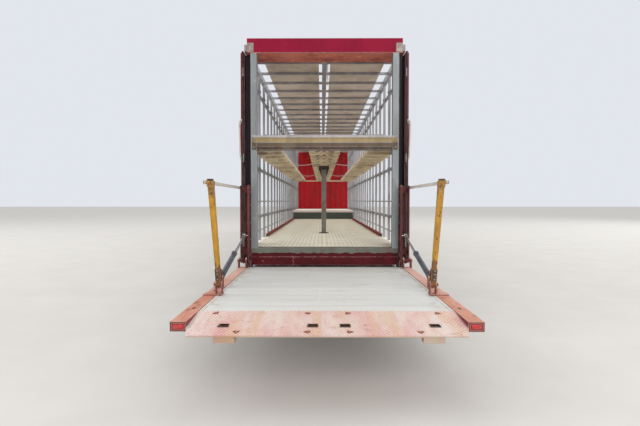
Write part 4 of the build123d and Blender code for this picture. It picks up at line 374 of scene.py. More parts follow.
def beam_finish():
    """Platform beams: salmon rust and pale dust on top, dark red painted shade on the sides and undersides"""
    look = Look("beam_rusty")
    field = look.noise(3.0, 6, 0.65, (1, 0.4, 1))
    look.colour = look.mix(look.step(field, 0.4, 0.6), (182, 110, 84), (194, 138, 112))
    look.tint(look.patches(0.55, 0.62, 6.0, 6, 0.7, (1, 0.5, 1)), (146, 74, 56), 0.8)
    look.tint(look.patches(0.53, 0.62, 3.0, 5, 0.7, (1, 0.3, 1), (0, 0, 1)), (210, 158, 142), 0.75)
    look.tint(look.step(look.axis("Y"), REAR - 2.0, REAR - 0.7), (224, 184, 172), 0.6)
    # Painted shade: the sides and undersides are tinted dark red
    upright = look.step(look.axis("Z", "Normal"), 0.5, 0.4)
    look.tint(upright, look.mix(look.step(field, 0.4, 0.6), (126, 46, 48), (96, 36, 40)))
    look.tint(look.calc("MULTIPLY", look.edges(0.008), look.step(field, 0.35, 0.55)), (218, 186, 166))
    return look.done(look.step(field, 0.3, 0.7, 0.5, 0.68), look.noise(50.0, 5), 0.001)


def glass_finish():
    """Clear pane with a little dust gathered low down"""
    look = Look("glass")
    film = look.patches(0.45, 0.75, 3.0, 5)
    look.colour = (186, 200, 200)
    look.tint(film, (190, 186, 176), 0.15)
    return look.done(look.step(film, 0, 1, 0.0, 0.03), Transmission_Weight=0.85, IOR=1.45)


def lamp_finish(name, lens, deep):
    """Moulded lamp lens: upright flutes over a deeper colour, a little dusty"""
    look = Look(name)
    flutes = look.waves("X", 34.0, 0.0)
    look.colour = look.mix(look.step(flutes, 0.2, 0.9), deep, lens)
    dusty = look.patches(0.5, 0.8, 22.0)
    look.tint(dusty, (188, 160, 150), 0.35)
    return look.done(look.step(dusty, 0, 1, 0.14, 0.34), flutes, 0.0008, Coat_Weight=0.5)


def seat_finish():
    """Woven seat cloth: crossed threads, darker between them, and worn paler in patches"""
    look = Look("seat_cloth")
    weave = look.calc("MULTIPLY", look.waves("X", 90.0, 0.4), look.waves("Y", 90.0, 0.4))
    look.colour = look.mix(look.step(weave, 0.0, 0.6), (58, 60, 68), (92, 94, 104))
    worn = look.patches(0.5, 0.72, 5.0, 5)
    look.tint(worn, (112, 110, 112), 0.5)
    return look.done(look.step(worn, 0, 1, 0.86, 0.74), weave, 0.0006, Sheen_Weight=0.3)


finish = {name: coat(name, *values, **rest) for name, *values, rest in COATS}
finish.update({
    "floor_cream": floor_finish(), "platform_grey": planks_finish(), "lip_worn": lip_finish(),
    "tread_rubbed": tread_finish(), "beam_rusty": beam_finish(), "seat_cloth": seat_finish(),
    "glass": glass_finish(),
    "lamp_glass": lamp_finish("lamp_glass", (222, 226, 230), (168, 174, 180)),
    "lamp_red": lamp_finish("lamp_red", (222, 46, 50), (150, 14, 20)),
    "lamp_amber": lamp_finish("lamp_amber", (232, 140, 36), (176, 88, 14))})

# Every CAD node takes its slot's finish, apart from the few that look different on this lorry
slots = {row["node"]: row["material_slot"] for row in frame["record"]["subparts"]}
OWN_FINISH = {"platform_frame": "beam_rusty", "front_wall": "wall_red", "rear_frame": "rear_red",
              "rear_posts": "posts_grey", "folded_doors": "leaf_paint", "lift_carriage": "carriage_red"}
for name, node in frame["nodes"].items():
    node.data.materials.clear()
    node.data.materials.append(finish[OWN_FINISH.get(name, slots[name])])


# Mesh helpers
def turns(count, closed=False):
    """Equal steps of a full turn, with the last one back at the start where the line is closed"""
    return [2 * math.pi * k / count for k in range(count + closed)]


def block(mesh, low, high, rounded=0.0, rows=2):
    """Box between two corners, with its edges rounded"""
    low, high = Vector(low), Vector(high)
    box = Matrix.Translation((low + high) / 2) @ Matrix.Diagonal((*(high - low), 1))
    made = bmesh.ops.create_cube(mesh, size=1, matrix=box)
    if rounded:
        edges = list({e for v in made["verts"] for e in v.link_edges})
        bmesh.ops.bevel(mesh, geom=edges, offset=rounded, segments=rows, affect="EDGES", profile=0.5,
                        clamp_overlap=True)


def border(low, high, wide):
    """The four bars of a flat frame, each as two corners in its plane"""
    (a, b), (c, d) = low, high
    return ((a, b), (c, b + wide)), ((a, d - wide), (c, d)), ((a, b), (a + wide, d)), ((c - wide, b), (c, d))


def rod(mesh, start, end, radius, far=None, sides=18):
    """Round bar or cone between two points"""
    start, end = Vector(start), Vector(end)
    turn = (end - start).to_track_quat("Z", "Y").to_matrix().to_4x4()
    bmesh.ops.create_cone(mesh, cap_ends=True, segments=sides, radius1=radius, radius2=radius if far is None else far,
                          depth=(end - start).length, matrix=Matrix.Translation((start + end) / 2) @ turn)


def pin(mesh, x, y, z, length, radius, far=None, sides=18):
    """Rod along X from a point"""
    rod(mesh, (x, y, z), (x + length, y, z), radius, far, sides)


def smooth_path(points, parts=8):
    """Points of a smooth line through the given ones"""
    line = [Vector(p) for p in points]
    full = [2 * line[0] - line[1]] + line + [2 * line[-1] - line[-2]]
    made = []
    for i in range(1, len(full) - 2):
        a, b, c, d = full[i - 1:i + 3]
        for k in range(parts):
            t = k / parts
            made.append(0.5 * (2 * b + (c - a) * t + (2 * a - 5 * b + 4 * c - d) * t * t
                               + (3 * b - a - 3 * c + d) * t ** 3))
    return made + [line[-1]]


def closed(mesh, rings):
    """Solid through rings of points, each ring with as many points as the next"""
    for a, b in zip(rings, rings[1:]):
        for k in range(len(a)):
            j = (k + 1) % len(a)
            mesh.faces.new((a[k], a[j], b[j], b[k]))
    mesh.faces.new(list(reversed(rings[0])))
    mesh.faces.new(rings[-1])


def tube(mesh, points, radius, sides=10):
    """Round bar along a line of points, closed at both ends"""
    points = [Vector(p) for p in points]
    rings = []
    side = None
    for i, at in enumerate(points):
        ahead = (points[min(i + 1, len(points) - 1)] - points[max(i - 1, 0)]).normalized()
        side = (ahead.orthogonal() if side is None else side - ahead * side.dot(ahead)).normalized()
        other = ahead.cross(side)
        rings.append([mesh.verts.new(at + radius * (math.cos(a) * side + math.sin(a) * other))
                      for a in turns(sides)])
    closed(mesh, rings)


def turned(mesh, profile, centre, sides=64, loop=False):
    """Disc about a line along X, or a ring where the profile is a loop: each point of the profile is a distance
    along X and a radius"""
    x, y, z = centre
    rings = [[mesh.verts.new((x + along, y + radius * math.cos(a), z + radius * math.sin(a)))
              for a in (turns(sides) if radius else [0])] for along, radius in profile]
    for a, b in zip(rings, rings[1:] + rings[:loop]):
        for k in range(sides):
            j = (k + 1) % sides
            corners = list(dict.fromkeys((a[k % len(a)], a[j % len(a)], b[j % len(b)], b[k % len(b)])))
            if len(corners) > 2:
                mesh.faces.new(corners)


def slab(mesh, outline, low, high, axis="X"):
    """Plate with an outline square to X or Y, from low to high along it"""
    closed(mesh, [[mesh.verts.new((d, u, v) if axis == "X" else (u, d, v)) for u, v in outline]
                  for d in (low, high)])


def both_sides(mesh):
    """Adds the mirror image on the other side of the vehicle"""
    copy = bmesh.ops.duplicate(mesh, geom=list(mesh.verts) + list(mesh.edges) + list(mesh.faces))["geom"]
    for item in copy:
        if isinstance(item, bmesh.types.BMVert):
            item.co.x = -item.co.x
    bmesh.ops.reverse_faces(mesh, faces=[f for f in copy if isinstance(f, bmesh.types.BMFace)])


def to_data(mesh, name="part"):
    """Turns a mesh under construction into mesh data"""
    data = bpy.data.meshes.new(name)
    mesh.to_mesh(data)
    mesh.free()
    return data


def add_data(mesh, data):
    """Adds mesh data to a mesh under construction"""
    mesh.from_mesh(data)
    bpy.data.meshes.remove(data)
    return mesh


def hidden_part(mesh):
    """A part to be repeated, kept out of the scene's own pieces"""
    bmesh.ops.recalc_face_normals(mesh, faces=list(mesh.faces))
    return bpy.data.objects.new("part", to_data(mesh))


def piece(name, mesh, body, slot_name, look=None, smooth=False, replaced=()):
    """Turns a mesh under construction into a finished piece that rides on a body"""
    bmesh.ops.recalc_face_normals(mesh, faces=list(mesh.faces))
    for face in mesh.faces:
        face.smooth = smooth
    data = to_data(mesh, name)
    made = bpy.data.objects.new(name, data)
    scene.collection.objects.link(made)
    data.materials.append(finish[look or slot_name])
    if smooth:
        data.set_sharp_from_angle(angle=math.radians(35))
    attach(made, body)
    if replaced:
        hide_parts(*replaced)
    return made


def pair(name, mesh, *rest, **more):
    """A piece with its mirror image"""
    both_sides(mesh)
    return piece(name, mesh, *rest, **more)


# Parts that repeat
def spots_tree():
    """Geometry Nodes that set copies of one part on the points of a mesh, each turned by the point's own value"""
    tree = bpy.data.node_groups.new("parts_on_spots", "GeometryNodeTree")
    for label, kind, way in (("Spots", "Geometry", "INPUT"), ("Part", "Object", "INPUT"),
                             ("Geometry", "Geometry", "OUTPUT")):
        tree.interface.new_socket(label, in_out=way, socket_type="NodeSocket" + kind)
    source = put(tree, "NodeGroupInput")
    turn = put(tree, "GeometryNodeInputNamedAttribute", {"Name": "turn"}, data_type="FLOAT_VECTOR")
    part = put(tree, "GeometryNodeObjectInfo", {"Object": source.outputs["Part"]})
    copies = put(tree, "GeometryNodeInstanceOnPoints", {"Points": source.outputs["Spots"],
                                                        "Instance": part.outputs["Geometry"],
                                                        "Rotation": turn.outputs["Attribute"]})
    real = put(tree, "GeometryNodeRealizeInstances", {"Geometry": copies.outputs["Instances"]})
    put(tree, "NodeGroupOutput", {"Geometry": real.outputs["Geometry"]})
    return tree


SPOTS = spots_tree()
PART_INPUT = next(item.identifier for item in SPOTS.interface.items_tree if item.name == "Part")


def on_spots(part, spots):
    """Copies of a hidden part on spots, which are a place and a turn each, as a mesh under construction"""
    data = bpy.data.meshes.new("spots")
    data.from_pydata([tuple(at) for at, _ in spots], [], [])
    turn_row = data.attributes.new("turn", "FLOAT_VECTOR", "POINT")
    for i, (_, turn) in enumerate(spots):
        turn_row.data[i].vector = turn
    holder = bpy.data.objects.new("spots", data)
    scene.collection.objects.link(holder)
    grow = holder.modifiers.new("grow", "NODES")
    grow.node_group = SPOTS
    grow[PART_INPUT] = part
    bpy.context.view_layer.update()
    ready = holder.evaluated_get(bpy.context.evaluated_depsgraph_get())
    made = bpy.data.meshes.new_from_object(ready)
    bpy.data.objects.remove(holder)
    return add_data(bmesh.new(), made)


# Tail lift: planks, lip, lamps, gates, cylinders and carriage
def platform_planks():
    """Ribbed planks with open joints, and a pale board along each side"""
    mesh = bmesh.new()
    front = REAR - 0.01
    foot, groove = PLATE_TOP - 0.025, PLATE_TOP - 0.003
    count, ribs = 11, 5
    width = (front - PLATE_END) / count
    wide = (width - 0.008) / ribs
    outline = [(0.001, foot), (0.001, groove)]
    for i in range(ribs):
        at = 0.004 + (width - 0.008) * i / ribs
        outline += [(at + 0.1 * wide, groove), (at + 0.2 * wide, PLATE_TOP), (at + 0.8 * wide, PLATE_TOP),
                    (at + 0.9 * wide, groove)]
    outline += [(width - 0.001, groove), (width - 0.001, foot)]
    slab(mesh, [(PLATE_END + u, v) for u, v in outline], -1.095, 1.095)
    row = on_spots(hidden_part(mesh), [((0, width * i, 0), STRAIGHT) for i in range(count)])
    piece("platform_planks", row, "platform", "platform_grey", replaced=["platform_deck"])
    edges = bmesh.new()
    block(edges, (1.0955, PLATE_END, foot), (1.130, front, PLATE_TOP + 0.003), 0.003)
    pair("platform_edges", edges, "platform", "platform_grey", "rail_white", replaced=["platform_deck"])


LIP_FALL, LIP_RUN = 0.06, 0.51
SLOT_Y = REAR - 2.854
SLOT_X = (-0.84, -0.115, 0.148, 0.877)
HOLES = [(x, REAR - 2.592) for x in (-0.967, -0.163, 0.184, 0.970)]
HOLES += [(x, REAR - 2.978) for x in (-0.715, -0.154, 0.178, 0.735)]


def lip_height(y):
    """Top of the sloping lip"""
    return PLATE_TOP - LIP_FALL * (PLATE_END - y) / LIP_RUN


def lip_treads():
    """Raised lozenges on the sloping lip, left out round its slots and holes"""
    mesh = bmesh.new()
    long, wide, high = 0.0130, 0.0042, 0.0026
    points = [mesh.verts.new(p) for p in (
        (-long, 0, -0.001), (0, -wide, -0.001), (long, 0, -0.001), (0, wide, -0.001),
        (-0.6 * long, 0, high), (0.6 * long, 0, high))]
    for corners in ((0, 1, 4), (1, 2, 5), (2, 3, 5), (3, 0, 4), (1, 5, 4), (3, 4, 5), (0, 3, 2, 1)):
        mesh.faces.new([points[k] for k in corners])
    keep_off = [(x, SLOT_Y, 0.052, 0.046) for x in SLOT_X] + [(x, y, 0.018, 0.018) for x, y in HOLES]
    rows, columns, slope = 21, 66, math.atan2(LIP_FALL, LIP_RUN)
    spots = []
    for row in range(rows):
        y = REAR - 2.552 - 0.0238 * row
        half = 1.115 - max(0.0, (REAR - 2.90 - y) / 0.15) * 0.045
        for i in range(columns):
            x = -half + 2 * half * (i + 0.5 * (row % 2) + 0.25) / columns
            if not any(abs(x - a) < c and abs(y - b) < d for a, b, c, d in keep_off):
                spots.append(((x, y, lip_height(y)), (slope, 0, math.radians(45 if (row + i) % 2 else -45))))
    piece("lip_treads", on_spots(hidden_part(mesh), spots), "platform", "lip_worn", "tread_rubbed")


def slot_rims():
    """Welded rims and bars in the hand slots, and worn dishes round the holes"""
    mesh = bmesh.new()
    z = lip_height(SLOT_Y)
    for x in SLOT_X:
        for (a, b), (c, d) in border((-0.043, -0.037), (0.043, 0.037), 0.007):
            block(mesh, (x + a, SLOT_Y + b, z - 0.02), (x + c, SLOT_Y + d, z + 0.004), 0.0015)
        for k in range(-2, 3):
            middle = x + 0.014 * k
            block(mesh, (middle - 0.003, SLOT_Y - 0.03, z - 0.02), (middle + 0.003, SLOT_Y + 0.03, z - 0.008))
    inner, outer = (0.0075, 0.0005), (0.017, 0.002)
    around = turns(10, True)
    for x, y in HOLES:
        for a, b in zip(around, around[1:]):
            corners = ((a, inner), (a, outer), (b, outer), (b, inner))
            mesh.faces.new([mesh.verts.new((x + r * math.cos(t), y + r * math.sin(t), lip_height(y) + h))
                            for t, (r, h) in corners])
    piece("slot_rims", mesh, "platform", "lip_worn", "head_black")


def hole_stains():
    """Rust that has run out round each hole"""
    mesh = bmesh.new()
    for x, y in HOLES:
        inner, outer = [], []
        for turn in turns(16):
            reach = 0.029 + 0.006 * math.sin(3 * turn + 9 * x) + 0.003 * math.sin(7 * turn)
            for ring, far in ((inner, 0.0165), (outer, reach)):
                at = y + far * math.sin(turn)
                ring.append(mesh.verts.new((x + far * math.cos(turn), at, lip_height(at) + 0.0007)))
        for k in range(16):
            j = (k + 1) % 16
            mesh.faces.new((inner[k], outer[k], outer[j], inner[j]))
    piece("hole_stains", mesh, "platform", "lip_worn", "rust_stain")


def beam_lamps():
    """Red lamps in the ends of the beams, each on its plate"""
    lens, plate = bmesh.new(), bmesh.new()
    back = REAR - 2.90
    block(lens, (1.158, back - 0.004, 0.596), (1.242, back + 0.018, 0.634), 0.006, 3)
    slab(plate, [(1.151, 0.591), (1.249, 0.591), (1.249, 0.639), (1.151, 0.639)], back + 0.004, back + 0.02, "Y")
    pair("beam_lamps", lens, "platform", "lamp_glass", "lamp_red", smooth=True)
    pair("beam_lamp_plates", plate, "platform", "body_red")


def beam_fittings():
    """Pin nuts and small plates along the platform beams"""
    mesh = bmesh.new()
    pin(mesh, 1.20, CYLINDER_FOOT.y, HINGE_Z, 0.022, 0.022, sides=6)
    pin(mesh, 1.143, GATE_Y, HINGE_Z, 0.022, 0.02, sides=6)
    for back in (0.35, 0.9, 1.45, 2.0, 2.6):
        block(mesh, (1.2645, REAR - back - 0.03, 0.59), (1.268, REAR - back + 0.03, 0.64), 0.0012)
    pair("beam_fittings", mesh, "platform", "body_red", "beam_rusty")


def gate_details():
    """Caps, pin blocks and foot plates on the gate posts, straps and end bolts on the rails"""
    heads, feet, bolts, caps, straps, ends = (bmesh.new() for _ in range(6))
    block(heads, (1.154, GATE_Y - 0.034, HEAD_Z - 0.050), (1.226, GATE_Y + 0.034, HEAD_Z + 0.014), 0.006)
    block(caps, (1.166, GATE_Y - 0.030, HEAD_Z + 0.012), (1.222, GATE_Y + 0.030, HEAD_Z + 0.034), 0.004)
    block(straps, (1.2322, GATE_Y + 0.04, HEAD_Z - 0.018), (1.2578, HINGE_Y - 0.04, HEAD_Z + 0.018), 0.003)
    block(heads, (1.158, GATE_Y - 0.034, HEAD_Z - 0.13), (1.206, GATE_Y - 0.0305, HEAD_Z - 0.06), 0.001)
    pin(heads, 1.219, GATE_Y, HEAD_Z, 0.013, 0.02, sides=20)
    for down in (0.09, 0.15, 0.26):
        rod(heads, (1.18, GATE_Y - 0.036, HEAD_Z - down), (1.18, GATE_Y - 0.0305, HEAD_Z - down), 0.009, sides=12)
    foot = [(x, HINGE_Z + z) for x, z in ((1.082, 0.03), (1.139, 0.03), (1.149, 0.16), (1.094, 0.16))]
    for back, front in ((-0.037, -0.0305), (0.0305, 0.037)):
        slab(feet, foot, GATE_Y + back, GATE_Y + front, "Y")
    lean = 0.08 / GATE_HEIGHT
    for up in (0.06, 0.11, 0.145):
        x, z = 1.111 + lean * up, HINGE_Z + up
        rod(bolts, (x, GATE_Y - 0.047, z), (x, GATE_Y + 0.047, z), 0.009, sides=6)
    for y in (GATE_Y, HINGE_Y):
        pin(ends, 1.257, y, HEAD_Z, 0.009, 0.017, sides=6)
        pin(ends, 1.256, y, HEAD_Z, 0.003, 0.021, sides=20)
    pair("gate_caps", caps, "gate_post_pair", "gate_yellow", "head_black")
    pair("rail_straps", straps, "gate_rail_pair", "rail_white")
    pair("gate_heads", heads, "gate_post_pair", "gate_yellow", "gate_head")
    pair("gate_feet", feet, "gate_post_pair", "gate_yellow", "gate_foot")
    pair("gate_bolts", bolts, "gate_post_pair", "galvanised", "bolt_zinc", smooth=True)
    pair("rail_end_bolts", ends, "gate_rail_pair", "rail_white", "bolt_zinc", smooth=True)


def cylinder_details():
    """Gland and end rings on the barrels, hose unions, and clevis cheeks on the rods"""
    rings, clevis = bmesh.new(), bmesh.new()
    run = (CYLINDER_HEAD - CYLINDER_FOOT).normalized()
    for first, last, radius, far in ((0.745, 0.783, 0.036, None), (0.783, 0.79, 0.03, 0.022),
                                     (0.04, 0.062, 0.0345, None)):
        rod(rings, CYLINDER_FOOT + run * first, CYLINDER_FOOT + run * last, radius, far, sides=24)
    up = Vector((0, -run.z, run.y))
    for along in (0.09, 0.70):
        at = CYLINDER_FOOT + run * along
        rod(rings, at + up * 0.028, at + up * 0.05, 0.012, sides=6)
        rod(rings, at + up * 0.05, at + up * 0.062, 0.008, sides=10)
    head = CYLINDER_HEAD
    rod(clevis, head - run * 0.09, head - run * 0.035, 0.024, sides=20)
    for x in (1.151, 1.193):
        pin(clevis, x, head.y, head.z, 0.006, 0.034, sides=24)
    pin(clevis, 1.197, head.y, head.z, 0.009, 0.014, sides=6)
    pair("cylinder_rings", rings, "barrel_pair", "hydraulic_dark", smooth=True)
    pair("rod_clevis", clevis, "rod_pair", "hydraulic_dark", "bolt_zinc", smooth=True)


def carriage_details():
    """Bolt heads on the cheek plates, shackles at the column foot, and grease caps on the hinge pins"""
    mesh, pale = bmesh.new(), bmesh.new()
    for up in (0.09, 0.3, 0.55, 0.8, 1.0):
        pin(mesh, 1.088, REAR - 0.035, HINGE_Z + up, 0.0105, 0.012, sides=6)
    pin(mesh, 1.259, HINGE_Y, HINGE_Z, 0.013, 0.024, sides=24)
    pin(mesh, 1.259, HINGE_Y, HINGE_Z, 0.019, 0.012, sides=6)
    x, y = 1.108, REAR - 0.055
    tube(pale, smooth_path([(x + 0.018 * math.cos(a), y - 0.02 - 0.02 * math.sin(a), 0.70 + 0.05 * math.sin(a))
                            for a in turns(10, True)], 3), 0.007, 8)
    for i in range(3):
        turn = math.pi / 2 * (i % 2)
        tube(pale, [(x + 0.012 * math.cos(a) * math.cos(turn), y + 0.012 * math.cos(a) * math.sin(turn),
                     0.83 - 0.045 * i + 0.028 * math.sin(a)) for a in turns(12, True)], 0.0045, 6)
    pair("carriage_bolts", mesh, "lift", "body_red", "bolt_zinc", smooth=True)
    pair("foot_shackles", pale, "lift", "body_red", "bolt_zinc", smooth=True)


# Rear frame and body: brackets, crossbeam plates, roof chain, clamps and lashing rails
def portal_details():
    """Brackets, plates and bolts on the rear frame, and the rubber under its sill"""
    bright, dark, ends, skirt = (bmesh.new() for _ in range(4))
    block(bright, (1.04, REAR - 0.004, 3.80), (1.138, REAR, 3.935), 0.0015)
    for x in (1.058, 1.12):
        for z in (3.82, 3.865, 3.915):
            rod(dark, (x, REAR - 0.01, z), (x, REAR - 0.003, z), 0.008, sides=6)
    for z in (2.42, 2.55):
        rod(dark, (1.045, REAR - 0.011, z), (1.045, REAR, z), 0.008, sides=6)
    both_sides(bright)
    block(bright, (-1.0, REAR - 0.003, 3.791), (1.0, REAR, 3.797), 0.001)
    block(bright, (-0.9, REAR + 0.02, 2.59), (0.9, REAR + 0.028, 2.604), 0.001)
    piece("corner_brackets", bright, "trailer", "galvanised", "bracket_worn")
    block(ends, (0.999, REAR - 0.005, 2.3805), (1.073, REAR + 0.002, 2.5895), 0.001)
    for low, high in ((2.3795, 2.405), (2.563, 2.5905)):
        block(ends, (0.998, REAR - 0.009, low), (1.074, REAR + 0.002, high), 0.002)
    pair("crossbeam_ends", ends, "trailer", "galvanised", "beam_ends")
    block(skirt, (-1.0, REAR + 0.028, 0.640), (1.0, REAR + 0.034, 0.6805), 0.001)
    piece("sill_skirt", skirt, "trailer", "flap_rubber")
    pair("corner_bolts", dark, "trailer", "galvanised", "bolt_zinc", smooth=True)


def roof_chain():
    """Short chain that hangs from the middle of the header, with its hook"""
    x, y, top = 0.045, REAR + 0.30, 3.775
    link = bmesh.new()
    tube(link, [(0, 0.009 * math.cos(a), 0.017 * math.sin(a)) for a in turns(10, True)], 0.0035, 5)
    mesh = on_spots(hidden_part(link), [((x, y, top - 0.026 * i), (0, 0, math.pi / 2 * (i % 2))) for i in range(12)])
    rod(mesh, (x, y, top), (x, y, 3.79), 0.012, sides=12)
    tube(mesh, smooth_path([(x, y, 3.46), (x, y, 3.43), (x, y + 0.018, 3.41), (x, y + 0.03, 3.43)], 4), 0.006, 8)
    piece("roof_chain", mesh, "trailer", "galvanised", "bolt_zinc", smooth=True)


def post_clamps():
    """Two-bolt clamps that hold the side rails to each post"""
    mesh = bmesh.new()
    block(mesh, (-0.004, -0.032, -0.03), (0.0, 0.032, 0.03), 0.0012, 1)
    for y in (-0.025, 0.025):
        pin(mesh, -0.010, y, 0.0, 0.006, 0.008, sides=6)
    spots = [((sign * 1.13, REAR + 0.7 + 0.6 * i, z), (0, 0, turn))
             for i in range(22) for z in (1.35, 2.19, 3.55) for sign, turn in ((1, 0), (-1, math.pi))
             if z > 1.4 or REAR + 0.7 + 0.6 * i <= STEP]
    piece("post_clamps", on_spots(hidden_part(mesh), spots), "trailer", "galvanised", "bolt_zinc")


def inner_rails():
    """Round lashing rails low on both walls"""
    mesh = bmesh.new()
    for z in (1.12, 1.62):
        rod(mesh, (1.118, REAR + 0.72, z), (1.118, STEP - 0.1, z), 0.011, sides=10)
    pair("lashing_rails", mesh, "trailer", "galvanised", smooth=True)


# Decks: raised grid on the low floor, punched wheel tracks above
def floor_ridges():
    """Fine raised lines of the floor boards, across and along, coloured darker than the boards: partly painted shade of
    the raised lines, partly their own tint
    """
    def line(top, *run):
        mesh = bmesh.new()
        slab(mesh, [(0.0, FLOOR_TOP - 0.005), (0.010, FLOOR_TOP - 0.005), (0.008, FLOOR_TOP + top),
                    (0.002, FLOOR_TOP + top)], *run)
        return mesh
    across = line(0.0014, 0.002, 1.082)
    add_data(across, to_data(line(0.0014, -1.082, -0.002)))
    start, end, pitch = REAR + 0.17, STEP - 0.02, 0.09
    row = on_spots(hidden_part(across), [((0, start + pitch * i, 0), STRAIGHT)
                                         for i in range(int((end - start) / pitch))])
    along = hidden_part(line(0.0012, REAR + 0.16, STEP - 0.01, "Y"))
    for first in (0.028, -1.052):
        lines = on_spots(along, [((first + 0.0675 * i, 0, 0), STRAIGHT) for i in range(16)])
        add_data(row, to_data(lines))
    piece("floor_ridges", row, "trailer", "floor_cream", "grid_wear_and_shade")


def floor_joint():
    """Strip that fills the joint of the floor boards behind and before the centre post"""
    mesh = bmesh.new()
    for back, front in ((REAR + 0.163, CENTRE_POST_Y - 0.056), (CENTRE_POST_Y + 0.056, STEP - 0.003)):
        block(mesh, (-0.0495, back, FLOOR_TOP - 0.006), (0.0495, front, FLOOR_TOP), 0.0006, 1)
    piece("floor_joint", mesh, "trailer", "floor_cream")


def deck_punching():
    """Raised pips on the wheel tracks of the mid deck"""
    mesh = bmesh.new()
    closed(mesh, [[mesh.verts.new((radius * math.cos(a), radius * math.sin(a), z)) for a in turns(6)]
                  for radius, z in ((0.011, -0.001), (0.006, 0.0035))])
    spots = [((sign * (x + 0.02 * (row % 2)), REAR + 0.22 + 0.105 * row, MID_TRACK_TOP), STRAIGHT)
             for row in range(98) for x in (0.08, 0.14, 0.20, 0.745, 0.83, 0.915, 1.0, 1.085) for sign in (1, -1)]
    piece("deck_punching", on_spots(hidden_part(mesh), spots), "trailer", "deck_brown")


def track_hooks():
    """Lashing hooks in pairs under the two middle tracks"""
    mesh = bmesh.new()
    slab(mesh, [(0.045, 2.421), (0.055, 2.421), (0.115, 2.395), (0.15, 2.40), (0.15, 2.408), (0.113, 2.405),
                (0.06, 2.432), (0.045, 2.432)], -0.012, 0.012, "Y")
    spots = [((0, REAR + 0.42 + 0.3 * i, -0.004), (0, 0, turn)) for i in range(32) for turn in (0, math.pi)]
    piece("track_hooks", on_spots(hidden_part(mesh), spots), "trailer", "deck_brown", "head_black")


def deck_ties():
    """Slack white ties from the middle tracks across to the outer ones"""
    mesh = bmesh.new()
    for y in (REAR + 3.0, REAR + 7.0):
        tube(mesh, smooth_path([(x, y, z) for x, z in ((0.245, 2.432), (0.33, 2.412), (0.47, 2.400), (0.61, 2.410),
                                                       (0.695, 2.432))], 4), 0.007, 8)
    pair("deck_ties", mesh, "trailer", "deck_brown", "rail_white", smooth=True)


def deck_fittings():
    """Head bracket, foot plate and bolts of the centre post"""
    dark, bright = bmesh.new(), bmesh.new()
    y = CENTRE_POST_Y
    block(dark, (-0.11, y - 0.085, 2.30), (0.11, y + 0.085, 2.3795), 0.006)
    for sign in (-1, 1):
        slab(dark, [(sign * 0.051, 2.14), (sign * 0.051, 2.30), (sign * 0.105, 2.30)], y - 0.006, y + 0.006, "Y")
    block(dark, (-0.1, y - 0.1, FLOOR_TOP - 0.003), (0.1, y + 0.1, FLOOR_TOP + 0.008), 0.002)
    for x in (-0.08, 0.08):
        for s in (-0.08, 0.08):
            rod(bright, (x, y + s, FLOOR_TOP + 0.008), (x, y + s, FLOOR_TOP + 0.018), 0.009, sides=6)
    for z in (1.2, 1.5, 1.8, 2.1):
        rod(bright, (0, y - 0.056, z), (0, y - 0.049, z), 0.014, sides=12)
    piece("centre_post_head", dark, "trailer", "deck_brown", "head_black")
    piece("centre_post_bolts", bright, "trailer", "deck_brown", "bolt_zinc", smooth=True)


# Outside of the trailer: door leaves, lamps, flaps and couplings
def leaf_details():
    """Hinge knuckles, rubber edges, latch rods and the bent grab handles of the door leaves"""
    metal, rubber, handles = (bmesh.new() for _ in range(3))
    first, second = REAR + 0.07, REAR + 0.14
    for middle in (1.0, 2.265, 3.53):
        for k in range(3):
            for x, y in ((1.2035, first - 0.006), (1.231, second - 0.006)):
                rod(metal, (x, y, middle - 0.06 + 0.041 * k), (x, y, middle - 0.022 + 0.041 * k), 0.011, sides=12)
    block(rubber, (1.206, first - 0.004, 0.70), (1.225, first + 0.001, 3.83), 0.0015)
    block(rubber, (1.236, second - 0.004, 0.70), (1.244, second + 0.001, 3.83), 0.0015)
    block(metal, (1.258, second + 0.57, 0.9), (1.264, second + 0.595, 3.6), 0.0012)
    for z in (1.1, 1.9, 2.7, 3.4):
        block(metal, (1.257, second + 0.555, z), (1.268, second + 0.6, z + 0.05), 0.002)
    grab = ((1.252, 0.13, 2.255), (1.262, 0.118, 2.30), (1.268, 0.11, 2.5), (1.272, 0.105, 2.72),
            (1.268, 0.10, 2.80), (1.245, 0.098, 2.835), (1.222, 0.098, 2.80), (1.216, 0.10, 2.74))
    tube(handles, smooth_path([(x, REAR + y, z) for x, y, z in grab], 6), 0.014, 12)
    pair("leaf_hinges", metal, "trailer", "galvanised", "bolt_zinc", smooth=True)
    pair("leaf_edges", rubber, "trailer", "flap_rubber")
    pair("leaf_handles", handles, "trailer", "galvanised", "rail_white", smooth=True)


def rear_lights():
    """Lamp clusters on the rear bumper, side markers along the guards and a blank plate"""
    red, amber, housing, plate = (bmesh.new() for _ in range(4))
    y = REAR + 0.2
    block(housing, (0.72, y - 0.028, 0.415), (1.045, y + 0.002, 0.545), 0.01)
    for lens, low, high in ((red, 0.735, 0.865), (amber, 0.875, 0.945), (red, 0.955, 1.032)):
        block(lens, (low, y - 0.038, 0.43), (high, y - 0.02, 0.53), 0.006, 3)
    for at in (REAR + 0.8, REAR + 1.7, REAR + 2.55, STEP - 4.2, STEP - 3.1, STEP - 2.0, STEP - 0.9):
        block(amber, (1.194, at, 0.71), (1.204, at + 0.09, 0.75), 0.003)
        block(housing, (1.1935, at - 0.008, 0.702), (1.199, at + 0.098, 0.758), 0.002)
    pair("rear_lamps", red, "trailer", "lamp_glass", "lamp_red", smooth=True)
    pair("marker_lamps", amber, "trailer", "lamp_glass", "lamp_amber", smooth=True)
    pair("lamp_housings", housing, "trailer", "trim_black")
    block(plate, (-0.27, y - 0.012, 0.42), (0.27, y - 0.003, 0.54), 0.003)
    piece("blank_rear_plate", plate, "trailer", "rail_white")


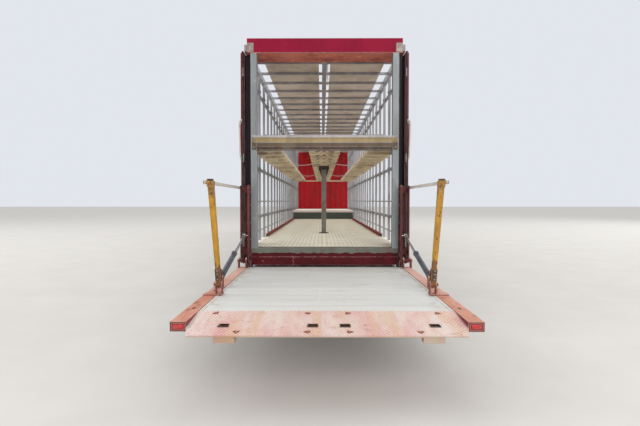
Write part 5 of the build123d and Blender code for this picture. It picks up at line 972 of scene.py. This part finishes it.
def flap_ribs():
    """Upright ribs on the mud flaps"""
    mesh = bmesh.new()
    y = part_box("mud_flaps")[0].y
    for k in range(9):
        x = 1.0 + 0.018 * k
        block(mesh, (x, y - 0.004, 0.27), (x + 0.008, y + 0.0005, 0.84), 0.001, 1)
    pair("flap_ribs", mesh, "trailer", "flap_rubber")


def wall_couplings():
    """Ribs, and air and electric couplings, on the outside of the front wall"""
    mesh, caps = bmesh.new(), bmesh.new()
    y = TRAILER_FRONT
    for x in (-1.05, -0.75, -0.45, -0.15, 0.15, 0.45, 0.75, 1.05):
        block(mesh, (x - 0.03, y - 0.001, 1.3), (x + 0.03, y + 0.014, 3.9), 0.004)
    piece("wall_ribs", mesh, "trailer", "body_red", "wall_red")
    block(caps, (-0.32, y - 0.001, 1.36), (0.32, y + 0.012, 1.52), 0.003)
    for x in (-0.24, -0.08, 0.08, 0.24):
        rod(caps, (x, y + 0.01, 1.44), (x, y + 0.06, 1.44), 0.034, 0.03, sides=24)
        rod(caps, (x, y + 0.06, 1.44), (x, y + 0.072, 1.44), 0.02, sides=16)
    piece("wall_couplings", caps, "trailer", "trim_black", smooth=True)


# Wheels: treaded tyres, nuts, hub caps and valves
# Columns: axle, y, radius, middles of its tyres, tyre width, rim radius, disc face, nut circle, hub end
AXLES = (("front", 8.34, 0.507, (1.089,), 0.312, 0.286, 1.139, 0.150, 1.179),
         ("drive", 4.69, 0.507, (0.744, 1.089), 0.312, 0.286, 0.9165, 0.145, 1.1865),
         ("trailer_front", -2.035, 0.42, (1.11,), 0.25, 0.222, 1.16, 0.135, 1.20),
         ("trailer_rear", -3.345, 0.42, (1.11,), 0.25, 0.222, 1.16, 0.135, 1.20))
TREAD_DEPTH = 0.010
TREAD_ROWS = 60


def tread_row(width, radius):
    """One row of tread blocks across a tyre, standing on its crown"""
    mesh = bmesh.new()
    length = 2 * math.pi * radius / TREAD_ROWS
    ribs = ((-0.41, -0.25), (-0.23, -0.09), (-0.07, 0.07), (0.09, 0.23), (0.25, 0.41))
    for i, (low, high) in enumerate(ribs):
        middle = (0.28 * (i % 2) - 0.14) * length
        back, front = middle - 0.39 * length, middle + 0.39 * length
        crown = -0.0029 if i in (0, 4) else -0.0009
        closed(mesh, [[mesh.verts.new((x * width, y, z)) for x, y in ((a, back), (b, back), (b, front), (a, front))]
                      for a, b, z in ((low, high, -TREAD_DEPTH - 0.002), (low + 0.008, high - 0.008, crown))])
    return hidden_part(mesh)


def tyre_body(mesh, middle, y, width, radius, rim):
    """Carcass with rounded shoulders, bulging walls, a rubbing ring and beads"""
    wall = radius - rim
    half = [(0.385, rim + 0.004), (0.42, rim)]
    half += [(u, rim + share * wall) for u, share in (
        (0.455, 0.06), (0.475, 0.16), (0.488, 0.30), (0.498, 0.44), (0.5, 0.56), (0.494, 0.60), (0.494, 0.64),
        (0.496, 0.70), (0.482, 0.87), (0.455, 0.92))]
    half += [(0.425, radius - TREAD_DEPTH - 0.004), (0.40, radius - TREAD_DEPTH)]
    profile = [(u * width, r) for u, r in half] + [(-u * width, r) for u, r in reversed(half)]
    turned(mesh, profile, (middle, y, radius), 72, loop=True)


def tyres():
    """Tread and carcass of every tyre, twins as one piece"""
    for axle, y, radius, middles, width, rim, *_ in AXLES:
        row = tread_row(width, radius)
        for sign, side in SIDES:
            name = axle + "_" + side
            mesh = on_spots(row, [((sign * middle, y - radius * math.sin(a), radius + radius * math.cos(a)), (a, 0, 0))
                                  for middle in middles for a in turns(TREAD_ROWS)])
            for middle in middles:
                tyre_body(mesh, sign * middle, y, width, radius, rim)
            piece("tyre_" + name + "_tread", mesh, "wheel_" + name, "tyre", smooth=True, replaced=["tyre_" + name])


def wheel_circle(x, y, z, reach, first, count):
    """Spots on a circle about an axle, facing outwards"""
    return [((x, y + reach * math.sin(a), z + reach * math.cos(a)), (0, math.copysign(math.pi / 2, x), 0))
            for a in (math.radians(first + 360 / count * k) for k in range(count))]


def wheel_fittings():
    """Nuts between the hand holes, cap bolts on the hub, a valve and a hub cap"""
    nut, bolt = bmesh.new(), bmesh.new()
    rod(nut, (0, 0, 0), (0, 0, 0.006), 0.017, sides=12)
    rod(nut, (0, 0, 0.006), (0, 0, 0.026), 0.0145, 0.013, sides=6)
    rod(nut, (0, 0, 0.026), (0, 0, 0.034), 0.008, sides=8)
    rod(bolt, (0, 0, -0.001), (0, 0, 0.008), 0.007, sides=6)
    nut, bolt = hidden_part(nut), hidden_part(bolt)
    for axle, y, radius, _, _, rim, disc, circle, hub in AXLES:
        for sign, side in SIDES:
            name, body = axle + "_" + side, "wheel_" + axle + "_" + side
            mesh = on_spots(nut, wheel_circle(sign * disc, y, radius, circle, 22.5, 8))
            caps = on_spots(bolt, wheel_circle(sign * hub, y, radius, 0.088, 0, 10))
            add_data(mesh, to_data(caps))
            tube(mesh, smooth_path([(sign * (disc + out), y, radius + rim - down)
                                    for out, down in ((-0.001, 0.075), (0.03, 0.072), (0.055, 0.05))], 4), 0.004, 8)
            piece("fittings_" + name, mesh, body, "rim_silver", "bolt_zinc", smooth=True)
            dome = bmesh.new()
            out = sign * ((1.225 if axle == "drive" else 1.235) - hub)
            turned(dome, [(-sign * 0.002, 0.0), (-sign * 0.002, 0.066), (0.25 * out, 0.066), (0.55 * out, 0.060),
                          (0.85 * out, 0.046), (out, 0.03), (out, 0.0)], (sign * hub, y, radius), 40)
            piece("hub_cap_" + name, dome, body, "rim_silver", smooth=True)


# Tractor: bolts along the rails, catwalk, tank fittings, coupling lever
def frame_bolts():
    """Bolt heads along the chassis rails"""
    mesh = bmesh.new()
    rod(mesh, (0, 0, -0.001), (0, 0, 0.003), 0.013, sides=12)
    rod(mesh, (0, 0, 0.003), (0, 0, 0.011), 0.010, sides=6)
    spots = [((sign * 0.44, 4.02 + 0.12 * i, z), (0, sign * math.pi / 2, 0))
             for i in range(44) for z in (0.745, 0.905) for sign in (1, -1)]
    piece("frame_bolts", on_spots(hidden_part(mesh), spots), "tractor", "chassis_steel", "bolt_zinc")


def catwalk():
    """Chequered plate over the rails behind the cab, on two angle irons"""
    mesh, stud = bmesh.new(), bmesh.new()
    block(mesh, (-0.43, 6.02, 0.951), (0.43, 7.28, 0.957), 0.0015)
    for y in (6.1, 7.1):
        block(mesh, (-0.43, y, 0.95), (0.43, y + 0.05, 0.96), 0.001)
    block(stud, (-0.016, -0.0035, -0.001), (0.016, 0.0035, 0.0025), 0.0015, 1)
    spots = [((-0.4 + 0.038 * i, 6.06 + 0.038 * row, 0.957), (0, 0, math.radians(45 if (row + i) % 2 else -45)))
             for row in range(32) for i in range(22)]
    add_data(mesh, to_data(on_spots(hidden_part(stud), spots)))
    piece("catwalk", mesh, "tractor", "tank_aluminium")


def tank_fittings():
    """Polished straps, end beads and a filler cap on each tank"""
    straps, caps = bmesh.new(), bmesh.new()
    for y in (5.75, 6.42, 7.1):
        block(straps, (1.229, y, 0.52), (1.236, y + 0.05, 0.87), 0.002)
        block(straps, (0.75, y, 0.959), (1.14, y + 0.05, 0.965), 0.002)
    for y in (5.449, 7.431):
        for z in (0.5, 0.88):
            block(straps, (0.72, y, z), (1.15, y + 0.010, z + 0.006), 0.002)
    x, y = 1.02, 6.15
    rod(caps, (x, y, 0.955), (x, y, 0.972), 0.06, sides=32)
    rod(caps, (x, y, 0.972), (x, y, 0.992), 0.05, 0.044, sides=32)
    for a in turns(6):
        grip_x, grip_y = x + 0.048 * math.cos(a), y + 0.048 * math.sin(a)
        rod(caps, (grip_x, grip_y, 0.966), (grip_x, grip_y, 0.990), 0.006, sides=8)
    pair("tank_straps", straps, "tractor", "tank_aluminium")
    pair("tank_caps", caps, "tractor", "trim_black", smooth=True)


def coupling_details():
    """Bearing pins and the pull handle of the fifth wheel"""
    mesh = bmesh.new()
    for x in (-0.475, 0.475):
        rod(mesh, (x * 0.93, 5.31, 0.985), (x * 1.03, 5.31, 0.985), 0.03, sides=20)
    pull = smooth_path([(0.40, 5.52, 0.965), (0.55, 5.52, 0.965), (0.66, 5.5, 0.962), (0.72, 5.46, 0.962),
                        (0.72, 5.40, 0.962), (0.66, 5.37, 0.962)], 6)
    tube(mesh, pull, 0.008, 10)
    piece("coupling_handle", mesh, "tractor", "cast_dark", "bolt_zinc", smooth=True)


# Cab outside: grille, lamps, wipers, mirrors, window rubbers, handles, steps, horns
def grille_mesh():
    """Upright bars in every slot of the grille, and a bright bead over each slot"""
    bar, beads = bmesh.new(), bmesh.new()
    block(bar, (-0.003, -0.009, -0.03), (0.003, 0.009, 0.03), 0.0012, 1)
    spots = [((-0.792 + 0.036 * i, 9.706, 1.22 + 0.12 * row), STRAIGHT) for row in range(6) for i in range(45)]
    piece("grille_bars", on_spots(hidden_part(bar), spots), "tractor", "trim_black", "head_black")
    for row in range(6):
        block(beads, (-0.8, 9.716, 1.2515 + 0.12 * row), (0.8, 9.7235, 1.2575 + 0.12 * row), 0.002)
    block(beads, (-0.84, 9.718, 1.863), (0.84, 9.7245, 1.873), 0.003)
    piece("grille_beads", beads, "tractor", "rim_silver", smooth=True)


def lamp_units():
    """Projectors, reflector strips and bezels in the headlamps, fog lamps, and a blank number plate"""
    lenses, bezels, amber, plate, rim = (bmesh.new() for _ in range(5))
    for x in (0.895, 1.01):
        rod(lenses, (x, 9.699, 0.815), (x, 9.711, 0.815), 0.048, 0.040, sides=32)
        rod(bezels, (x, 9.6985, 0.815), (x, 9.703, 0.815), 0.054, sides=32)
    block(amber, (1.075, 9.698, 0.75), (1.165, 9.707, 0.87), 0.004)
    block(lenses, (0.835, 9.698, 0.735), (1.06, 9.706, 0.752), 0.004)
    for (a, b), (c, d) in border((0.82, 0.72), (1.18, 0.90), 0.008):
        block(bezels, (a, 9.699, b), (c, 9.712, d), 0.002)
    block(bezels, (0.86, 9.736, 0.48), (1.06, 9.7425, 0.56), 0.003)
    rod(lenses, (0.91, 9.738, 0.52), (0.91, 9.746, 0.52), 0.034, sides=28)
    rod(amber, (1.01, 9.738, 0.52), (1.01, 9.746, 0.52), 0.034, sides=28)
    both_sides(bezels)
    block(bezels, (-0.42, 9.688, 0.62), (0.42, 9.6915, 0.78), 0.001)
    for k in range(9):
        block(bezels, (-0.415, 9.69, 0.632 + 0.017 * k), (0.415, 9.708, 0.637 + 0.017 * k), 0.001, 1)
    pair("headlamp_lenses", lenses, "tractor", "lamp_glass", smooth=True)
    piece("headlamp_bezels", bezels, "tractor", "trim_black")
    pair("turn_lamps", amber, "tractor", "lamp_glass", "lamp_amber", smooth=True)
    block(plate, (-0.26, 9.739, 0.45), (0.26, 9.745, 0.56), 0.002)
    piece("blank_front_plate", plate, "tractor", "rail_white")
    for (a, b), (c, d) in border((-0.27, 0.44), (0.27, 0.57), 0.012):
        block(rim, (a, 9.738, b), (c, 9.747, d), 0.002)
    piece("front_plate_frame", rim, "tractor", "trim_black")


def screen(x, z, out):
    """Point a little way out from the raked windscreen"""
    return x, 9.68 - 0.2 * (z - 1.95) + out, z


def wipers():
    """Three arms with their blades, parked low on the screen"""
    mesh = bmesh.new()
    for x in (-0.86, -0.16, 0.54):
        foot = 1.985
        rod(mesh, screen(x, foot, -0.01), screen(x, foot, 0.022), 0.02, 0.015, sides=16)
        arm = [screen(x, foot, 0.018), screen(x + 0.18, 2.04, 0.016), screen(x + 0.40, 2.10, 0.004)]
        tube(mesh, smooth_path(arm, 6), 0.007, 8)
        tube(mesh, [screen(x + 0.10 + 0.11 * k, 2.055 + 0.0135 * k, -0.008) for k in range(6)], 0.006, 6)
    piece("wipers", mesh, "tractor", "trim_black", "head_black", smooth=True)


def mirror_faces():
    """Two mirror glasses in a raised rim on the back of each housing, and its rounded front"""
    glass, rims = bmesh.new(), bmesh.new()
    for low, high in ((2.36, 2.835), (2.105, 2.325)):
        block(glass, (1.306, 9.4165, low), (1.434, 9.4205, high), 0.002)
        for (a, b), (c, d) in border((1.296, low - 0.01), (1.444, high + 0.01), 0.01):
            block(rims, (a, 9.411, b), (c, 9.4205, d), 0.002)
    block(rims, (1.30, 9.509, 2.12), (1.44, 9.528, 2.83), 0.016, 4)
    pair("mirror_glass", glass, "tractor", "rod_chrome")
    pair("mirror_shells", rims, "tractor", "trim_black", smooth=True)


def door_trim():
    """Window rubbers, lower mouldings, and a lock beside the pull of each door"""
    for sign, side in SIDES:
        rubber, metal = bmesh.new(), bmesh.new()
        rows = [(1.224, 1.2485, bar, 0.003) for bar in border((8.588, 1.988), (9.332, 2.832), 0.018)]
        rows.append((1.244, 1.250, ((8.53, 1.30), (9.36, 1.36)), 0.0025))
        for inner, outer, (low, high), rounded in rows:
            inner, outer = sorted((sign * inner, sign * outer))
            block(rubber, (inner, *low), (outer, *high), rounded)
        for inner, outer, radius, sides in ((1.244, 1.2475, 0.016, 20), (1.2475, 1.2495, 0.008, 12)):
            rod(metal, (sign * inner, 8.85, 1.78), (sign * outer, 8.85, 1.78), radius, sides=sides)
        body = "door_" + side + "_body"
        piece("door_rubber_" + side, rubber, body, "trim_black")
        piece("door_lock_" + side, metal, body, "rim_silver", "bolt_zinc", smooth=True)


def roof_horn(mesh, x):
    """Air horn on two feet, its mouth forwards"""
    profile = [(8.80, 0.016), (8.83, 0.02), (8.93, 0.022), (9.0, 0.032), (9.04, 0.055), (9.055, 0.058), (9.045, 0.052),
               (9.0, 0.026)]
    for (y_a, r_a), (y_b, r_b) in zip(profile, profile[1:]):
        rod(mesh, (x, y_a, 3.63), (x, y_b, 3.63), r_a, r_b, sides=24)
    for y in (8.83, 8.97):
        block(mesh, (x - 0.02, y - 0.015, 3.52), (x + 0.02, y + 0.015, 3.62), 0.004)


def cab_fittings():
    """Grab rails behind the doors, horns, marker lamps on the visor, and step treads"""
    bright, lamps, treads = (bmesh.new() for _ in range(3))
    grab = ((1.244, 1.45), (1.272, 1.46), (1.285, 1.50), (1.285, 2.20), (1.272, 2.24), (1.244, 2.25))
    tube(bright, smooth_path([(x, 8.44, z) for x, z in grab], 5), 0.012, 12)
    for z in (0.48, 0.76):
        for k in range(6):
            block(treads, (1.09 + 0.026 * k, 9.05, z - 0.0005), (1.10 + 0.026 * k, 9.47, z + 0.006), 0.001, 1)
    for x in (0.35, 0.85):
        block(lamps, (x - 0.05, 9.575, 2.93), (x + 0.05, 9.64, 2.962), 0.012, 3)
    both_sides(bright)
    for x in (-0.5, 0.5):
        roof_horn(bright, x)
    piece("cab_brightwork", bright, "tractor", "rim_silver", smooth=True)
    pair("visor_lamps", lamps, "tractor", "lamp_glass", "lamp_amber", smooth=True)
    pair("step_treads", treads, "tractor", "tank_aluminium")


# Cab inside: sprung seats, bunk, dashboard and steering wheel
FLOOR_Z = 1.15
SEAT_Y = 8.65
SEAT_X = 0.62
INSIDE = ["cab_interior"]


def cushion(mesh, low, high, crown, rows=9, soft=0.035, along=2):
    """Stuffed pad: edges rounded, sides drawn in between the corners, and the face crowned along one axis"""
    low, high = Vector(low), Vector(high)
    made = bmesh.new()
    bmesh.ops.create_cube(made, size=2)
    bmesh.ops.subdivide_edges(made, edges=list(made.edges), cuts=rows, use_grid_fill=True)
    mid, half = (low + high) / 2, (high - low) / 2
    for vert in made.verts:
        u = list(vert.co)
        at = []
        for k in range(3):
            bulge = (1 - u[k - 1] ** 4) * (1 - u[k - 2] ** 4)
            at.append(mid[k] + u[k] * max(half[k] - soft * (1 - bulge), 0.004))
        if u[along] > 0:
            at[along] += crown * ((1 - u[along - 1] ** 2) * (1 - u[along - 2] ** 2) - 1) * u[along]
        vert.co = at
    add_data(mesh, to_data(made))


# Columns: sideways, half width, back, front, low, high, crown, axis of the crown
SEAT_PADS = ((0, 0.235, -0.25, 0.255, 1.49, 1.67, 0.03, 2),
             (-0.205, 0.04, -0.24, 0.22, 1.52, 1.669, 0.01, 2), (-0.205, 0.04, -0.385, -0.262, 1.64, 2.12, 0.01, 1),
             (0.205, 0.04, -0.24, 0.22, 1.52, 1.669, 0.01, 2), (0.205, 0.04, -0.385, -0.262, 1.64, 2.12, 0.01, 1),
             (0, 0.22, -0.395, -0.275, 1.62, 2.16, 0.02, 1), (0, 0.13, -0.38, -0.275, 2.19, 2.395, 0.02, 1))
# Columns: half width, back, front, low, high, rounding; the middle ones are the folds of the bellows
SEAT_BASE = [(0.2, -0.22, 0.2, FLOOR_Z, 1.30, 0.02)]
SEAT_BASE += [(0.19, -0.20, 0.18, 1.30 + 0.03 * k, 1.324 + 0.03 * k, 0.010) for k in range(5)]
SEAT_BASE += [(0.23, -0.25, 0.25, 1.45, 1.50, 0.012), (0.2, -0.40, -0.375, 1.42, 2.15, 0.01)]


def seats():
    """Cushion, bolsters, backrest and headrest of each seat, on a sprung base"""
    for sign, side in SIDES:
        pad, base = bmesh.new(), bmesh.new()
        x = sign * SEAT_X
        for out, wide, back, front, low, high, crown, along in SEAT_PADS:
            cushion(pad, (x + out - wide, SEAT_Y + back, low), (x + out + wide, SEAT_Y + front, high), crown,
                    along=along)
        made = piece("seat_" + side, pad, "tractor", "interior", "seat_cloth", smooth=True, replaced=INSIDE)
        for wide, back, front, low, high, rounded in SEAT_BASE:
            block(base, (x - wide, SEAT_Y + back, low), (x + wide, SEAT_Y + front, high), rounded)
        for s in (-0.06, 0.06):
            rod(base, (x + s, SEAT_Y - 0.33, 2.12), (x + s, SEAT_Y - 0.33, 2.24), 0.007, sides=10)
        piece("seat_base_" + side, base, "tractor", "interior", replaced=INSIDE)


def bunk():
    """Mattress in three crowned lengths side by side, on its box"""
    pad, board = bmesh.new(), bmesh.new()
    for k in range(3):
        x = -1.18 + 0.7867 * k
        cushion(pad, (x, 7.55, 1.62), (x + 0.79, 8.18, 1.748), 0.03, rows=11)
    made = piece("bunk_mattress", pad, "tractor", "interior", "seat_cloth", smooth=True, replaced=INSIDE)
    block(board, (-1.193, 7.542, 1.56), (1.193, 8.188, 1.63), 0.008)
    block(board, (-1.19, 7.56, 1.152), (1.19, 8.17, 1.56), 0.01)
    for x in (-0.62, 0.0, 0.62):
        block(board, (x - 0.25, 8.168, 1.22), (x + 0.25, 8.186, 1.5), 0.006)
    piece("bunk_box", board, "tractor", "interior", replaced=INSIDE)


def dashboard():
    """Dashboard with its hood, vents and binnacle, and the steering wheel on its column"""
    mesh, wheel = bmesh.new(), bmesh.new()
    slab(mesh, [(9.628, 1.55), (9.628, 1.87), (9.60, 1.898), (9.40, 1.89), (9.28, 1.85), (9.22, 1.80),
                (9.212, 1.66), (9.30, 1.56)], -1.192, 1.192)
    for x_low, x_high in ((-0.92, -0.32), (-0.2, 0.2)):
        slab(mesh, [(9.40, 1.84), (9.42, 1.90), (9.30, 1.90), (9.24, 1.84), (9.24, 1.80)], x_low, x_high)
    for x in (-1.08, -0.26, 0.26, 1.08):
        for k in range(4):
            block(mesh, (x - 0.055, 9.205, 1.70 + 0.02 * k), (x + 0.055, 9.216, 1.708 + 0.02 * k), 0.002)
    piece("dashboard", mesh, "tractor", "interior", replaced=INSIDE)
    centre, across = Vector((-0.62, 9.17, 2.05)), Vector((1, 0, 0))
    up = Vector((0, math.cos(math.radians(30)), math.sin(math.radians(30))))
    axis = across.cross(up)
    tube(wheel, [centre + 0.22 * (math.cos(a) * across + math.sin(a) * up) for a in turns(48, True)], 0.016, 12)
    for a in (math.radians(-20), math.radians(200), math.radians(270)):
        out = math.cos(a) * across + math.sin(a) * up
        tube(wheel, [centre, centre + 0.11 * out - 0.012 * axis, centre + 0.215 * out], 0.014, 8)
    rod(wheel, centre - 0.03 * axis, centre + 0.012 * axis, 0.07, 0.06, sides=32)
    rod(wheel, centre - 0.30 * axis, centre - 0.02 * axis, 0.03, sides=20)
    piece("steering_wheel", wheel, "tractor", "interior", "trim_black", smooth=True, replaced=INSIDE)


for make in (platform_planks, lip_treads, slot_rims, hole_stains, beam_lamps, beam_fittings, gate_details,
             cylinder_details, carriage_details, portal_details, roof_chain, post_clamps, inner_rails,
             floor_ridges, floor_joint, deck_punching, track_hooks, deck_ties, deck_fittings, leaf_details,
             rear_lights, flap_ribs, wall_couplings, tyres, wheel_fittings, frame_bolts, catwalk, tank_fittings,
             coupling_details, grille_mesh, lamp_units, wipers, mirror_faces, door_trim, cab_fittings, seats,
             bunk, dashboard):
    make()

# Stage: camera, floor, backdrop and lamps
PHOTO_W = 640
FOCAL_PX = 427.0
SENSOR = 36.0


def staged(name, data):
    """Puts a new object into the scene"""
    made = bpy.data.objects.new(name, data)
    scene.collection.objects.link(made)
    return made


camera = staged("camera", bpy.data.cameras.new("camera"))
camera.data.sensor_width = SENSOR
camera.data.lens = FOCAL_PX / PHOTO_W * SENSOR
camera.data.clip_end = 200
camera.location = (-0.04, REAR - 6.30, 1.625)
camera.rotation_euler = (math.radians(90 - 1.61), 0, math.radians(0.27))
scene.camera = camera

ground = staged("ground", bpy.data.meshes.new("ground"))
ground.data.from_pydata([(-90, -90, 0), (90, -90, 0), (90, 110, 0), (-90, 110, 0)], [], [(0, 1, 2, 3)])
ground_look = Look("ground")
ground_look.colour = ground_look.mix(ground_look.patches(0.3, 0.7, 1.2, 3), (214, 212, 209), (208, 206, 203))
ground.data.materials.append(ground_look.done(0.9))

world = bpy.data.worlds.new("studio")
scene.world = world
world.use_nodes = True
sky = world.node_tree
sky.nodes.clear()
path = put(sky, "ShaderNodeLightPath").outputs
through = put(sky, "ShaderNodeMath", {0: path["Is Glossy Ray"], 1: path["Is Transmission Ray"]}, operation="MAXIMUM")
seen = put(sky, "ShaderNodeMath", {0: path["Is Camera Ray"], 1: through.outputs[0]}, operation="MAXIMUM")
backdrop = put(sky, "ShaderNodeBackground", {"Color": srgb(226, 230, 236), "Strength": 1.0})
fill_light = put(sky, "ShaderNodeBackground", {"Color": (1.0, 0.99, 0.97, 1), "Strength": 0.88})
either = put(sky, "ShaderNodeMixShader", {0: seen.outputs[0], 1: fill_light.outputs[0], 2: backdrop.outputs[0]})
put(sky, "ShaderNodeOutputWorld", {"Surface": either.outputs[0]})

# Columns: name, place, what it is turned to, size, power
for name, at, aim, size, power in (
        ("key", (9, -29, 12), (0, -5, 1.3), 11, 1900), ("side", (-26, -4, 16), (0, 0, 1.2), 18, 2300),
        ("far", (26, 8, 16), (0, 2, 1.2), 18, 2300), ("top", (0, 0, 22), (0, 0, 0), 18, 450)):
    softbox = staged(name, bpy.data.lights.new(name, "AREA"))
    softbox.data.shape = "SQUARE"
    softbox.data.size = size
    softbox.data.energy = power
    softbox.location = at
    softbox.rotation_euler = (Vector(aim) - Vector(at)).to_track_quat("-Z", "Y").to_euler()
scene.view_settings.view_transform = "Standard"
